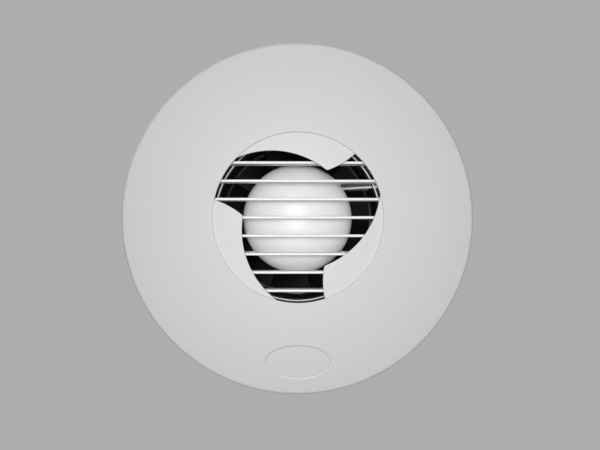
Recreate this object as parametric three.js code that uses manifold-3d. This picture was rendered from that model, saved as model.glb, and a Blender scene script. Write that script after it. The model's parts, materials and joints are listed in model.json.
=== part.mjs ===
// Round exhaust fan with an iris shutter: a domed disc cover over an axial fan in a stepped duct housing.
// Three leaves slide under the cover on one common sphere and close the air inlet like a camera iris.
//
// All lengths are millimetres. The fan is modelled face up: x to the right, y up the wall, z out of the
// wall towards the room, and the wall plane is z = 0. The last lines stand it up, face to -Y and +Z up.
// Everything on the sphere is modelled about the sphere's own centre, far behind the wall.
import * as THREE from "three";
import { mergeVertices } from "three/addons/utils/BufferGeometryUtils.js";
import Module from "manifold-3d";

// ---- clearances -------------------------------------------------------------------------------------
const SEAT_GAP = 0.3; // between two pieces that rest on each other
const RUN_GAP = 0.4; // between two shells that slide past each other
const PIN_GAP = 0.25; // between a pin and the hole that turns on it
const PAST = 1; // how far a cutter runs past the face that it cuts

// ---- cover ------------------------------------------------------------------------------------------
const COVER_RADIUS = 125; // the rest of the fan, out from the axis, is laid out in shares of this
const COVER_WALL = 1.8;
const DOME_RADIUS = 400; // the sphere of the cover's face
const APERTURE_RADIUS = 0.472 * COVER_RADIUS;
const APERTURE_HEIGHT = 29.7; // the face's height off the wall at the aperture's edge
const RIM_ROUND = 3;
const SKIRT_GAP = 1; // the skirt stops this short of the wall
const BADGE_HALF_WIDTH = 22.6;
const BADGE_HALF_HEIGHT = 11.5;
const BADGE_DROP = 0.808 * COVER_RADIUS; // the oval's centre below the axis
const BADGE_RECESS = 1;
const BADGE_THICKNESS = 0.5;
const PEG_RADIUS = 2.2;
const PEG_CIRCLE = 0.896 * COVER_RADIUS;
const PEG_TIP = 3.4; // the pegs' height off the wall
const PEG_ANGLES = [30, 150, 270];
const SOCKET_WALL = 1.6;
const SOCKET_HEIGHT = 9;

// ---- iris -------------------------------------------------------------------------------------------
const LEAF_COUNT = 3;
const LEAF_THICKNESS = 1.4;
const LEAF_EDGE_RADIUS = 0.484 * COVER_RADIUS; // both curved edges of a leaf, measured on the sphere
const LEAF_EDGE_ANGLE = 202.2; // where the closed leaf's hollow edge has its centre
const LEAF_OVERLAP = 1.5; // how far a closed leaf reaches under the cover
const LEAF_REACH = 0.9592 * COVER_RADIUS; // no leaf swings out past this radius
const LEAF_BUTT_GAP = 0.3; // between the edges of closed leaves
const PIVOT_CIRCLE = 0.612 * COVER_RADIUS;
const PIVOT_ANGLE = 134.1;
const PIVOT_RADIUS = 2;
const PIVOT_BOSS = 5.5;
const ARM_LENGTH = 0.112 * COVER_RADIUS; // pivot to drive pin
const ARM_HALF_WIDTH = 3.6;
const NECK_INNER = 0.4 * COVER_RADIUS; // the neck starts inside the blade at this radius, between two angles
const NECK_FROM = 110;
const NECK_TO = 140;
const NECK_SHOULDER = 0.072 * COVER_RADIUS;
const NECK_HEEL = 0.56 * COVER_RADIUS; // the far end of the hollow edge
const NECK_HEEL_ANGLE = 148;
const NECK_BOSS_BEFORE = 75; // where the neck meets the boss, either side of the pivot's own angle
const NECK_BOSS_AFTER = 45;
const DRIVE_PIN_RADIUS = 1.8;
const FULL_TURN = 46.6; // a leaf's swing from closed to open
const SHOWN_TURN = 28.7; // a leaf's swing from closed to where it stands

// ---- drive ring and pinion --------------------------------------------------------------------------
const MODULE = 0.008 * COVER_RADIUS;
const RING_TEETH = 164; // of a full circle: only a sector is cut
const PINION_TEETH = 16;
const SECTOR_TEETH = 14;
const PRESSURE_ANGLE = 20;
const ADDENDUM = 0.8 * MODULE;
const DEDENDUM = 1.3 * MODULE;
const BACKLASH = 0.3;
const TOOTH_SINK = 0.4; // how far a tooth's foot reaches into its wheel
const RING_THICKNESS = 1.6;
const RING_OUTER = 0.816 * COVER_RADIUS;
const SLOT_GAP = 0.3;
const PINION_ANGLE = -46;
const PINION_SHAFT = 2.5;
const PINION_SHAFT_SINK = 3; // how far the shaft reaches into its motor

// ---- iris carrier -----------------------------------------------------------------------------------
const CARRIER_THICKNESS = 2;
const CARRIER_INNER = 0.5048 * COVER_RADIUS;
const CARRIER_OUTER = 0.848 * COVER_RADIUS;
const COLLAR_WALL = 1.5;
const LEDGE_WIDTH = 1.5;
const LEDGE_BOTTOM = 7.7;
const GUIDE_COUNT = 3;
const GUIDE_WIDTH = 1.8;
const GUIDE_LENGTH = 12;
const EAR_RADIUS = 5;
const EAR_THICKNESS = 2.2;
const PIVOT_SEAT = 4.4;
const PIVOT_SINK = 4; // the pivot seats reach this far behind the carrier
const POST_CIRCLE = 0.88 * COVER_RADIUS;
const POST_RADIUS = 4;
const POST_ANGLES = [90, 210, 330];

// ---- inlet grille -----------------------------------------------------------------------------------
const GRILLE_WALL = 1.4;
const GRILLE_TOP = 24;
const SLAT_COUNT = 9;
const SLAT_PITCH = 0.102 * COVER_RADIUS;
const SLAT_THICKNESS = 1.9;
const SLAT_DEPTH = 14.5;

// ---- duct housing -----------------------------------------------------------------------------------
const PLATE_RADIUS = 0.944 * COVER_RADIUS;
const PLATE_THICKNESS = 2.5;
const PLATE_RIM_WIDTH = 1.6;
const PLATE_RIM_HEIGHT = 3.5;
const BARREL_RADIUS = 0.4632 * COVER_RADIUS; // the bore that the impeller turns in
const BARREL_WALL = 1.8;
const BARREL_DEPTH = 62;
const REDUCER_DEPTH = 76;
const SPIGOT_RADIUS = 0.392 * COVER_RADIUS; // slides into a 100 mm duct
const SPIGOT_WALL = 1.8;
const SPIGOT_DEPTH = 95;
const GASKET_INNER = 0.544 * COVER_RADIUS;
const GASKET_OUTER = 0.6 * COVER_RADIUS;
const GASKET_DEPTH = 1.2;
const WALL_SCREW_CIRCLE = 0.832 * COVER_RADIUS;
const WALL_SCREW_RADIUS = 2.4;
const WALL_SCREW_ANGLES = [45, 135, 225, 315];

// ---- motor support: inlet sleeve, arms and pod ------------------------------------------------------
const SLEEVE_WALL = 1.5;
const SLEEVE_TOP = 8.5;
const SLEEVE_DEPTH = 30;
const SUPPORT_EAR_CIRCLE = 0.516 * COVER_RADIUS;
const SUPPORT_EAR_RADIUS = 3.8;
const SUPPORT_EAR_THICKNESS = 2.2;
const SUPPORT_EAR_ANGLES = [60, 180, 300];
const POD_RADIUS = 0.3224 * COVER_RADIUS;
const POD_WALL = 1.8;
const POD_DEPTH = 31;
const DOME_APEX = 6; // the nose's height off the wall
const DOME_HEIGHT = 16;
const DOME_LIP = 3;
const ARM_WALL = 2.4;
const ARM_BACK = 26;
const CHANNEL_LOW = 0.1728 * COVER_RADIUS; // the cable channel's lower face above the axis
const CHANNEL_HEIGHT = 6;
const CHANNEL_DEPTH = 2.9;
const CHANNEL_WALL = 1.4;
const CHANNEL_TOP = 7.2;
const CHANNEL_BEND = 0.416 * COVER_RADIUS; // where the sloping arm meets the level spout
const CHANNEL_END = 0.46 * COVER_RADIUS;
const LOWER_ARM_DROP = 0.204 * COVER_RADIUS;

// ---- fan motor and impeller -------------------------------------------------------------------------
const SHAFT_RADIUS = 2.5;
const SHAFT_FRONT = -5;
const SHAFT_PROUD = 1; // the shaft ends this far behind the hub
const CAN_RADIUS = 28;
const CAN_WALL = 1;
const CORE_LENGTH = 10;
const WINDING_HEIGHT = 3.4;
const ROTOR_RADIUS = 13;
const AIR_GAP = 0.5;
const BEARING_RADIUS = 5.2;
const BEARING_LENGTH = 4;
const POLE_COUNT = 12;
const CORE_YOKE = 4;
const SLOT_WIDTH = 3;
const WINDING_INSET = 1.6;
const IMPELLER_GAP = 3; // pod to hub
const HUB_RADIUS = 0.28 * COVER_RADIUS;
const HUB_WALL = 1.8;
const HUB_LENGTH = 22;
const HUB_BOSS = 6;
const BLADE_COUNT = 11;
const TIP_GAP = 1.2;
const BLADE_THICKNESS = 1.8;
const BLADE_CHORD_ROOT = 0.232 * COVER_RADIUS;
const BLADE_CHORD_TIP = 0.32 * COVER_RADIUS;
const BLADE_PITCH_ROOT = 42;
const BLADE_PITCH_TIP = 21;
const BLADE_CAMBER = 0.08; // of the chord
const BLADE_EDGE = 0.4; // a blade's thickness at its edges, as a share of its middle's
const NUT_RADIUS = 4.6;
const NUT_HEIGHT = 3;
const HUB_RIBS = 6;
const HUB_RIB_HEIGHT = 6;
const BLADE_SECTIONS = 3;
const BLADE_POINTS = 4;

// ---- iris motor -------------------------------------------------------------------------------------
const IRIS_MOTOR_RADIUS = 14;
const IRIS_MOTOR_HEIGHT = 11;
const IRIS_MOTOR_OFFSET = 8; // the shaft stands this far inwards of the can's middle
const IRIS_EAR_SPAN = 17.5;
const IRIS_EAR_THICKNESS = 1;
const IRIS_EAR_HALF_WIDTH = 3.2;

// ---- electrics --------------------------------------------------------------------------------------
const BOARD = { x: -0.704 * COVER_RADIUS, y: 4, width: 30, height: 42, thickness: 1.6 };
const STANDOFF_RADIUS = 2.5;
const STANDOFF_INSET = 3.5;
const STANDOFF_HEIGHT = 3.2;
const CAPACITOR_INSET = 10; // its middle from the board's upper edge
const RELAY_INSET = 11; // its middle from the board's lower edge
const BOARD_SHIFT = 6; // the parts on the board stand this far to the right of its middle
const CAPACITOR = {
  x: BOARD.x + BOARD_SHIFT,
  y: BOARD.y + BOARD.height / 2 - CAPACITOR_INSET,
  width: 13,
  height: 9,
  thickness: 5.5,
};
const RELAY = {
  x: BOARD.x + BOARD_SHIFT,
  y: BOARD.y - BOARD.height / 2 + RELAY_INSET,
  width: 11,
  height: 15,
  thickness: 4.8,
};
const TERMINAL = { x: -0.4 * COVER_RADIUS, y: -0.584 * COVER_RADIUS, width: 22, height: 10, thickness: 7 };
const TERMINAL_WAYS = 3;
const TERMINAL_PITCH = 6.5;
const TERMINAL_WALL = 1; // under its wire holes
const TERMINAL_COVER_WALL = 1.2;
const WIRE_HOLE = 2.6;
const CLAMP = { x: -0.232 * COVER_RADIUS, y: -0.616 * COVER_RADIUS, width: 6, height: 23, thickness: 2 };
const CLAMP_SADDLE = 3.4; // half of the cord that it holds
const CLAMP_SCREW_PITCH = 17.6;
const GROMMET = { x: -0.104 * COVER_RADIUS, y: -0.656 * COVER_RADIUS };
const GROMMET_HOLE = 6;
const GROMMET_FLANGE = 8;
const GROMMET_BORE = 3.5;
const GROMMET_FLANGE_HEIGHT = 1.5;

// ---- screws -----------------------------------------------------------------------------------------
const SCREW_RADIUS = 1.3;
const SCREW_HEAD_RADIUS = 2.6;
const SCREW_HEAD_HEIGHT = 1.5;
const SCREW_LENGTH = 7;
const SCREW_SLOT = 0.7;
const SCREW_CROWN = 0.7; // the flat of a screw's head, as a share of its radius
const SHORT_SCREW_LENGTH = 3.9;
const MOTOR_SCREW_LENGTH = IRIS_EAR_THICKNESS + CARRIER_THICKNESS;
const SCREW_GAP = 0.15; // round a shank
const HEAD_GAP = 0.1; // under a head

// ---- facets -----------------------------------------------------------------------------------------
const FACE_SIDES = 44; // sides of the cover
const ROUND = 32; // sides of the other large rounds
const MEDIUM = 20;
const HEX = 6;
const SMALL = 8;
const SHELL_SIDES = 28; // of the sphere that the leaves are cut from
const SHELL_RINGS = 5;
const OVAL_SIDES = 12;
const FACE_STEPS = 3;
const RIM_STEPS = 2;
const NOSE_STEPS = 4;
const BORE_STEPS = 2;
const FLANK_STEPS = 2;
const CROWN_STEPS = 3;
const CURVE_STEPS = 4; // of the round ends of bars

// ---- worked-out places ------------------------------------------------------------------------------
const Z = new THREE.Vector3(0, 0, 1);
const rad = THREE.MathUtils.degToRad;
const DOME_CENTRE = APERTURE_HEIGHT - Math.sqrt(DOME_RADIUS ** 2 - APERTURE_RADIUS ** 2);
const COVER_IN = DOME_RADIUS - COVER_WALL;
const LEAF_OUT = COVER_IN - RUN_GAP; // the spheres, from the cover inwards
const LEAF_IN = LEAF_OUT - LEAF_THICKNESS;
const RING_OUT = LEAF_IN - RUN_GAP;
const RING_IN = RING_OUT - RING_THICKNESS;
const CARRIER_OUT = RING_IN - RUN_GAP;
const CARRIER_IN = CARRIER_OUT - CARRIER_THICKNESS;
const RING_PITCH = (MODULE * RING_TEETH) / 2;
const PINION_PITCH = (MODULE * PINION_TEETH) / 2;
const RING_INNER = RING_PITCH + DEDENDUM;
const SLEEVE_OUTER = BARREL_RADIUS + SLEEVE_WALL;
const SEAT_RADIUS = SLEEVE_OUTER + SEAT_GAP;
const POD_SHOULDER = DOME_APEX - DOME_HEIGHT; // where the nose meets the pod's cup
const GRILLE_OUTER = CARRIER_INNER - SEAT_GAP;
const GRILLE_INNER = GRILLE_OUTER - GRILLE_WALL;
const GRILLE_BOTTOM = GRILLE_TOP - SLAT_DEPTH;
const SOCKET_BORE = PEG_RADIUS + SEAT_GAP;
const POD_SIDE = Math.sqrt(POD_RADIUS ** 2 - CHANNEL_LOW ** 2) + SEAT_GAP; // beside the channel
const ARM_START = Math.sqrt((POD_RADIUS - POD_WALL / 2) ** 2 - (CHANNEL_LOW + CHANNEL_HEIGHT) ** 2);
const HUB_FRONT = -POD_DEPTH - IMPELLER_GAP;
const HUB_BACK = HUB_FRONT - HUB_LENGTH;
const NUT_TOP = HUB_BACK + NUT_HEIGHT + SEAT_GAP;
const CAN_BACK = -POD_DEPTH + POD_WALL + SEAT_GAP;
const CORE_BACK = CAN_BACK + CAN_WALL + WINDING_HEIGHT + 2 * SEAT_GAP;
const CORE_FRONT = CORE_BACK + CORE_LENGTH;
const CAN_FRONT = CORE_FRONT + WINDING_HEIGHT + 2 * SEAT_GAP;
const BOARD_BACK = PLATE_THICKNESS + STANDOFF_HEIGHT + SEAT_GAP;

// ---- materials --------------------------------------------------------------------------------------
const finish = (color, roughness, metalness = 0) =>
  new THREE.MeshStandardMaterial({ color, roughness, metalness });
const WHITE = finish(0xe9e9e7, 0.42);
const BADGE_WHITE = finish(0xe4e4e3, 0.36);
const INNER_WHITE = finish(0xd9d9d6, 0.5);
const DARK_PLASTIC = finish(0x1d1e20, 0.55);
const CHARCOAL = finish(0x2a2b2e, 0.55);
const FOAM = finish(0x2b2b2b, 0.95);
const STEEL = finish(0x9a9ca0, 0.35, 0.9);
const LAMINATION = finish(0x5a5c60, 0.5, 0.8);
const COPPER = finish(0xb06a3a, 0.45, 0.7);
const BRONZE = finish(0x8f7346, 0.5, 0.7);
const ACETAL = finish(0xf1efe6, 0.4);
const BOARD_GREEN = finish(0x1f5b38, 0.5);
const CAPACITOR_YELLOW = finish(0xc9a53a, 0.45);
const RELAY_BLACK = finish(0x18191b, 0.4);
const TERMINAL_GREY = finish(0xb9bbb7, 0.5);

// ---- solids -----------------------------------------------------------------------------------------
const wasm = await Module();
wasm.setup();

// A closed geometry as a solid that can be joined and cut. A profile drawn the other way round is turned.
function solid(geometry) {
  const bare = geometry.index ? geometry.toNonIndexed() : geometry.clone();
  bare.deleteAttribute("normal");
  bare.deleteAttribute("uv");
  const merged = mergeVertices(bare, 1e-4);
  const corners = [];
  for (let i = 0; i < merged.index.count; i += 3) {
    const [a, b, c] = [0, 1, 2].map((k) => merged.index.getX(i + k));
    if (a !== b && b !== c && c !== a) corners.push([a, b, c]);
  }
  const build = (faces) =>
    new wasm.Manifold(
      new wasm.Mesh({
        numProp: 3,
        vertProperties: merged.attributes.position.array,
        triVerts: new Uint32Array(faces.flat()),
      }),
    );
  const made = build(corners);
  return made.volume() < 0 ? build(corners.map(([a, b, c]) => [a, c, b])) : made;
}

// The solid's surface as a geometry for a mesh.
function surface(body) {
  const mesh = body.getMesh();
  const geometry = new THREE.BufferGeometry();
  const places = new Float32Array(mesh.numVert * 3);
  for (let i = 0; i < mesh.numVert; i++) {
    places.set(mesh.vertProperties.subarray(i * mesh.numProp, i * mesh.numProp + 3), i * 3);
  }
  geometry.setAttribute("position", new THREE.BufferAttribute(places, 3));
  geometry.setIndex(new THREE.BufferAttribute(mesh.triVerts, 1));
  geometry.computeVertexNormals();
  return geometry;
}

const steps = (count, make) => Array.from({ length: count + 1 }, (_, i) => make(i / count));
const repeat = (count, make) => Array.from({ length: count }, (_, i) => make(i));
const moved = (body, matrix) => solid(surface(body).applyMatrix4(matrix));
const join = (bodies) => bodies.reduce((all, body) => all.add(body));
const cut = (body, tools) => tools.reduce((left, tool) => left.subtract(tool), body);

// A solid of revolution about z, from [radius, height] points.
function revolve(profile, sides, place = null) {
  const points = profile.map(([r, z]) => new THREE.Vector2(r, z));
  const onAxis = profile[0][0] === 0 && profile.at(-1)[0] === 0;
  if (!onAxis) points.push(points[0].clone());
  const geometry = new THREE.LatheGeometry(points, sides).rotateX(Math.PI / 2);
  return solid(place ? geometry.applyMatrix4(place) : geometry);
}

const at = (x, y, z = 0) => new THREE.Matrix4().makeTranslation(x, y, z);
const disc = (radius, low, high, sides, place = null) =>
  revolve([[0, low], [radius, low], [radius, high], [0, high]], sides, place);
const tube = (outer, inner, low, high, sides, place = null) =>
  revolve([[inner, low], [outer, low], [outer, high], [inner, high]], sides, place);

function block(x0, x1, y0, y1, z0, z1) {
  const geometry = new THREE.BoxGeometry(x1 - x0, y1 - y0, z1 - z0);
  return solid(geometry.translate((x0 + x1) / 2, (y0 + y1) / 2, (z0 + z1) / 2));
}

// A box lying on height z, centred on a laid-out place such as BOARD.
function slab({ x, y, width, height, thickness }, z, grow = 0) {
  const [w, h] = [width / 2 + grow, height / 2 + grow];
  return block(x - w, x + w, y - h, y + h, z, z + thickness);
}

// A circle's points at an angle in degrees.
const polar = (radius, angle) => [radius * Math.cos(rad(angle)), radius * Math.sin(rad(angle))];

// ---- solids on the sphere, about the sphere's centre ------------------------------------------------
// The angle from the fan's axis to a point that lies at this radius on the leaves.
const lean = (radius) => Math.asin(radius / LEAF_OUT);

// The direction from the sphere's centre to the point at (radius, angle) on the leaves.
function direction(radius, angle) {
  const [x, y] = polar(radius / LEAF_OUT, angle);
  return new THREE.Vector3(x, y, Math.cos(lean(radius)));
}

function tilt(towards) {
  const turn = new THREE.Quaternion().setFromUnitVectors(Z, towards);
  return new THREE.Matrix4().makeRotationFromQuaternion(turn);
}

// The part of a plan that lies between two spheres. A plan is made of cones and wedges from the centre.
function plate(plan, outer, inner) {
  const arc = (sphere) =>
    steps(SHELL_RINGS, (t) => {
      const angle = lean(t * COVER_RADIUS);
      return [sphere * Math.sin(angle), sphere * Math.cos(angle)];
    });
  return plan.intersect(revolve([...arc(outer), ...arc(inner).reverse()], SHELL_SIDES));
}

// A ring between two spheres, from one radius to another.
function band(outer, inner, from, to) {
  const edge = (radius) => [outer, inner].map(
    (sphere) => [sphere * Math.sin(lean(radius)), sphere * Math.cos(lean(radius))],
  );
  const [[innerTop, innerFoot], [outerTop, outerFoot]] = [edge(from), edge(to)];
  return revolve([innerTop, outerTop, outerFoot, innerFoot], ROUND);
}

// Everything within this radius of a direction: a cone from the sphere's centre.
function cone(radius, towards = Z, sides = ROUND) {
  const far = DOME_RADIUS + RIM_ROUND;
  return revolve([[0, 0], [far * Math.tan(lean(radius)), far], [0, far]], sides, tilt(towards));
}

// A round pin or boss that points at the sphere's centre.
const spoke = (radius, low, high, towards, sides = SMALL) => disc(radius, low, high, sides, tilt(towards));

// A prism over a flat outline, from one sphere to another, with walls that run to the spheres' centre.
function wedge(shape, high = DOME_RADIUS + RIM_ROUND, low = CARRIER_IN - RIM_ROUND, curves = CURVE_STEPS) {
  const geometry = new THREE.ExtrudeGeometry(
    shape, { depth: high - low, bevelEnabled: false, curveSegments: curves },
  );
  const place = geometry.attributes.position;
  for (let i = 0; i < place.count; i++) {
    const [x, y, sphere] = [place.getX(i), place.getY(i), low + place.getZ(i)];
    const up = Math.sqrt(LEAF_OUT ** 2 - x * x - y * y);
    place.setXYZ(i, (x * sphere) / LEAF_OUT, (y * sphere) / LEAF_OUT, (up * sphere) / LEAF_OUT);
  }
  return solid(geometry);
}

const outline = (points) => new THREE.Shape(points.map(([x, y]) => new THREE.Vector2(x, y)));

// A bar with round ends between two flat points.
function obround([x0, y0], [x1, y1], halfWidth) {
  const angle = Math.atan2(y1 - y0, x1 - x0);
  const shape = new THREE.Shape();
  shape.absarc(x1, y1, halfWidth, angle - Math.PI / 2, angle + Math.PI / 2);
  shape.absarc(x0, y0, halfWidth, angle + Math.PI / 2, angle + (3 * Math.PI) / 2);
  return shape;
}

// The height of a sphere above the wall at a radius from the axis.
const heightOf = (sphere, radius) => DOME_CENTRE + Math.sqrt(sphere ** 2 - radius ** 2);

// ---- cover ------------------------------------------------------------------------------------------
function coverShell() {
  const roundCentre = COVER_RADIUS - RIM_ROUND;
  const slope = Math.asin(roundCentre / (DOME_RADIUS - RIM_ROUND));
  const roundHeight = heightOf(DOME_RADIUS - RIM_ROUND, roundCentre);
  const face = (sphere) =>
    steps(FACE_STEPS, (t) => {
      const radius = THREE.MathUtils.lerp(APERTURE_RADIUS, sphere * Math.sin(slope), t);
      return [radius, heightOf(sphere, radius)];
    });
  const rim = (radius) =>
    steps(RIM_STEPS, (t) => {
      const angle = (Math.PI / 2 - slope) * (1 - t);
      return [roundCentre + radius * Math.cos(angle), roundHeight + radius * Math.sin(angle)];
    }).slice(1);
  const outside = [...face(DOME_RADIUS), ...rim(RIM_ROUND), [COVER_RADIUS, SKIRT_GAP]];
  const inside = [...face(COVER_IN), ...rim(RIM_ROUND - COVER_WALL), [COVER_RADIUS - COVER_WALL, SKIRT_GAP]];
  return revolve([...outside, ...inside.reverse()], FACE_SIDES);
}

// The badge's oval as a plan on the sphere, grown all round by a margin.
function badgeOval(margin) {
  const shape = new THREE.Shape();
  shape.absellipse(0, -BADGE_DROP, BADGE_HALF_WIDTH + margin, BADGE_HALF_HEIGHT + margin, 0, 2 * Math.PI);
  return wedge(shape, DOME_RADIUS + RIM_ROUND, CARRIER_IN, OVAL_SIDES);
}

function frontCover() {
  const inFace = heightOf(COVER_IN + COVER_WALL / 2, PEG_CIRCLE + PEG_RADIUS);
  const pegs = PEG_ANGLES.map(
    (angle) => disc(PEG_RADIUS, PEG_TIP, inFace, SMALL, at(...polar(PEG_CIRCLE, angle))),
  );
  const recess = plate(badgeOval(0), DOME_RADIUS + RIM_ROUND / 2, DOME_RADIUS - BADGE_RECESS);
  return cut(join([coverShell(), ...pegs]), [moved(recess, at(0, 0, DOME_CENTRE))]);
}

function badgeBlank() {
  const floor = DOME_RADIUS - BADGE_RECESS + SEAT_GAP;
  return plate(badgeOval(-SEAT_GAP), floor + BADGE_THICKNESS, floor);
}

// ---- iris -------------------------------------------------------------------------------------------
const PIVOT = direction(PIVOT_CIRCLE, PIVOT_ANGLE);
// Towards the drive pin when the leaf has turned this far from closed. Half way, the arm points straight out.
const armAt = (turn) =>
  direction(PIVOT_CIRCLE + ARM_LENGTH, PIVOT_ANGLE).applyAxisAngle(PIVOT, rad(turn - FULL_TURN / 2));
const flat = (towards) => [towards.x * LEAF_OUT, towards.y * LEAF_OUT];
// The drive ring's angle, from half way, when the leaf has turned this far from closed.
const ringAngle = (turn) => THREE.MathUtils.radToDeg(Math.atan2(armAt(turn).y, armAt(turn).x)) - PIVOT_ANGLE;
const LEAF_PER_RING = FULL_TURN / (ringAngle(FULL_TURN) - ringAngle(0));
const RING_SHOWN = (SHOWN_TURN - FULL_TURN / 2) / LEAF_PER_RING;

// The neck runs from the blade to the boss, and carries the hollow edge on past the aperture.
function leafNeck() {
  const pivot = polar(PIVOT_CIRCLE, PIVOT_ANGLE);
  const onBoss = (angle) => polar(PIVOT_BOSS, angle).map((v, i) => v + pivot[i]);
  const corners = [
    polar(NECK_INNER, NECK_FROM),
    polar(NECK_INNER, NECK_TO),
    polar(NECK_HEEL, NECK_HEEL_ANGLE),
    onBoss(PIVOT_ANGLE + NECK_BOSS_AFTER),
    onBoss(PIVOT_ANGLE - NECK_BOSS_BEFORE),
    polar(NECK_INNER + NECK_SHOULDER, NECK_FROM),
  ];
  return wedge(outline(corners.reverse()));
}

// A leaf in its closed place. Turned about its pivot, its tip swings outwards.
function leaf() {
  const opened = Z.clone().applyAxisAngle(PIVOT, -rad(FULL_TURN));
  const hollow = cone(LEAF_EDGE_RADIUS + LEAF_BUTT_GAP / 2, direction(LEAF_EDGE_RADIUS, LEAF_EDGE_ANGLE));
  const bulge = cone(
    LEAF_EDGE_RADIUS - LEAF_BUTT_GAP / 2, direction(LEAF_EDGE_RADIUS, LEAF_EDGE_ANGLE - 360 / LEAF_COUNT),
  );
  const blade = cone(APERTURE_RADIUS + LEAF_OVERLAP).intersect(bulge).intersect(cone(LEAF_REACH, opened));
  const arm = wedge(obround(flat(PIVOT), flat(armAt(0)), ARM_HALF_WIDTH));
  const plan = cut(join([blade, leafNeck(), arm]), [hollow]);
  const boss = spoke(PIVOT_BOSS, RING_IN, LEAF_OUT - PIN_GAP, PIVOT);
  const pin = spoke(DRIVE_PIN_RADIUS, RING_IN, LEAF_IN + LEAF_THICKNESS / 2, armAt(0));
  const bore = spoke(PIVOT_RADIUS + PIN_GAP, RING_IN - PAST, DOME_RADIUS, PIVOT);
  return cut(join([plate(plan, LEAF_OUT, LEAF_IN), boss, pin]), [bore]);
}

const pivotPin = () =>
  spoke(PIVOT_RADIUS, CARRIER_IN - PIVOT_SINK + CARRIER_THICKNESS, LEAF_OUT - SEAT_GAP, PIVOT);

// ---- gearing: involute teeth laid out flat, with walls that run to the sphere's centre ----------------
// Half the angle that a tooth fills at a radius.
function halfTooth(teeth, radius) {
  const pitch = (MODULE * teeth) / 2;
  const involute = (angle) => Math.tan(angle) - angle;
  const pressure = Math.acos(Math.min(1, (pitch * Math.cos(rad(PRESSURE_ANGLE))) / radius));
  return Math.PI / (2 * teeth) + involute(rad(PRESSURE_ANGLE)) - involute(pressure);
}

// Both flanks of a tooth between two radii, centred on an angle in degrees.
// half gives the tooth's half angle at a radius.
function toothFlanks(from, to, angle, half) {
  const flank = (side) =>
    steps(FLANK_STEPS, (t) => {
      const radius = THREE.MathUtils.lerp(from, to, t);
      return polar(radius, angle + side * THREE.MathUtils.radToDeg(half(radius)));
    });
  return [...flank(-1), ...flank(1).reverse()];
}

function pinion() {
  const half = (radius) => halfTooth(PINION_TEETH, radius) - BACKLASH / 2 / radius;
  const points = repeat(PINION_TEETH, (i) => {
    const angle = PINION_ANGLE + (i * 360) / PINION_TEETH;
    return toothFlanks(PINION_PITCH - DEDENDUM, PINION_PITCH + ADDENDUM, angle, half);
  });
  const wheel = wedge(outline(points.flat()), RING_OUT, RING_IN);
  return join([
    wheel,
    disc(PINION_SHAFT, CARRIER_IN - PINION_SHAFT_SINK, RING_IN + RING_THICKNESS / 2, SMALL),
  ]);
}

function driveRing() {
  const pitchAngle = 360 / RING_TEETH;
  const top = RING_PITCH - ADDENDUM;
  const half = (radius) => Math.PI / RING_TEETH - halfTooth(RING_TEETH, radius) - BACKLASH / 2 / radius;
  const teeth = repeat(SECTOR_TEETH, (i) => {
    const angle = PINION_ANGLE + (i + 0.5 - SECTOR_TEETH / 2) * pitchAngle;
    return wedge(outline(toothFlanks(top, RING_INNER + TOOTH_SINK, angle, half)), RING_OUT, RING_IN);
  });
  const slots = repeat(LEAF_COUNT, (i) => {
    const angle = PIVOT_ANGLE + RING_SHOWN + (i * 360) / LEAF_COUNT;
    const [inner, outer] = [armAt(0), armAt(FULL_TURN / 2)].map((pin) => Math.hypot(...flat(pin)));
    return wedge(obround(polar(inner, angle), polar(outer, angle), DRIVE_PIN_RADIUS + SLOT_GAP));
  });
  return cut(join([band(RING_OUT, RING_IN, RING_INNER, RING_OUTER), ...teeth]), slots);
}

// ---- iris carrier, in face height ---------------------------------------------------------------------
const raised = (body) => moved(body, at(0, 0, DOME_CENTRE));
const PINION_AXIS = Z.clone().applyAxisAngle(
  new THREE.Vector3(-Math.sin(rad(PINION_ANGLE)), Math.cos(rad(PINION_ANGLE)), 0),
  lean(RING_PITCH) - lean(PINION_PITCH),
);
const IRIS_MOTOR_REACH = Math.hypot(
  IRIS_EAR_SPAN + IRIS_EAR_HALF_WIDTH, IRIS_MOTOR_OFFSET + IRIS_EAR_HALF_WIDTH,
);
const IRIS_MOTOR_TOP = Math.sqrt(CARRIER_IN ** 2 - IRIS_MOTOR_REACH ** 2) - SEAT_GAP;
const POST_TOP = heightOf(CARRIER_IN, POST_CIRCLE + POST_RADIUS) - SEAT_GAP;
const EAR_TOP = POST_TOP + SEAT_GAP + EAR_THICKNESS;

// A place in the iris motor's own frame: z along the pinion's axis, x along the motor's two ears.
function onMotor(x, y, z) {
  const ears = new THREE.Matrix4().makeRotationZ(rad(PINION_ANGLE + 90));
  return tilt(PINION_AXIS).multiply(ears).multiply(at(x, y, z));
}
const earPlaces = (z) => [-IRIS_EAR_SPAN, IRIS_EAR_SPAN].map((x) => onMotor(x, -IRIS_MOTOR_OFFSET, z));

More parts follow.
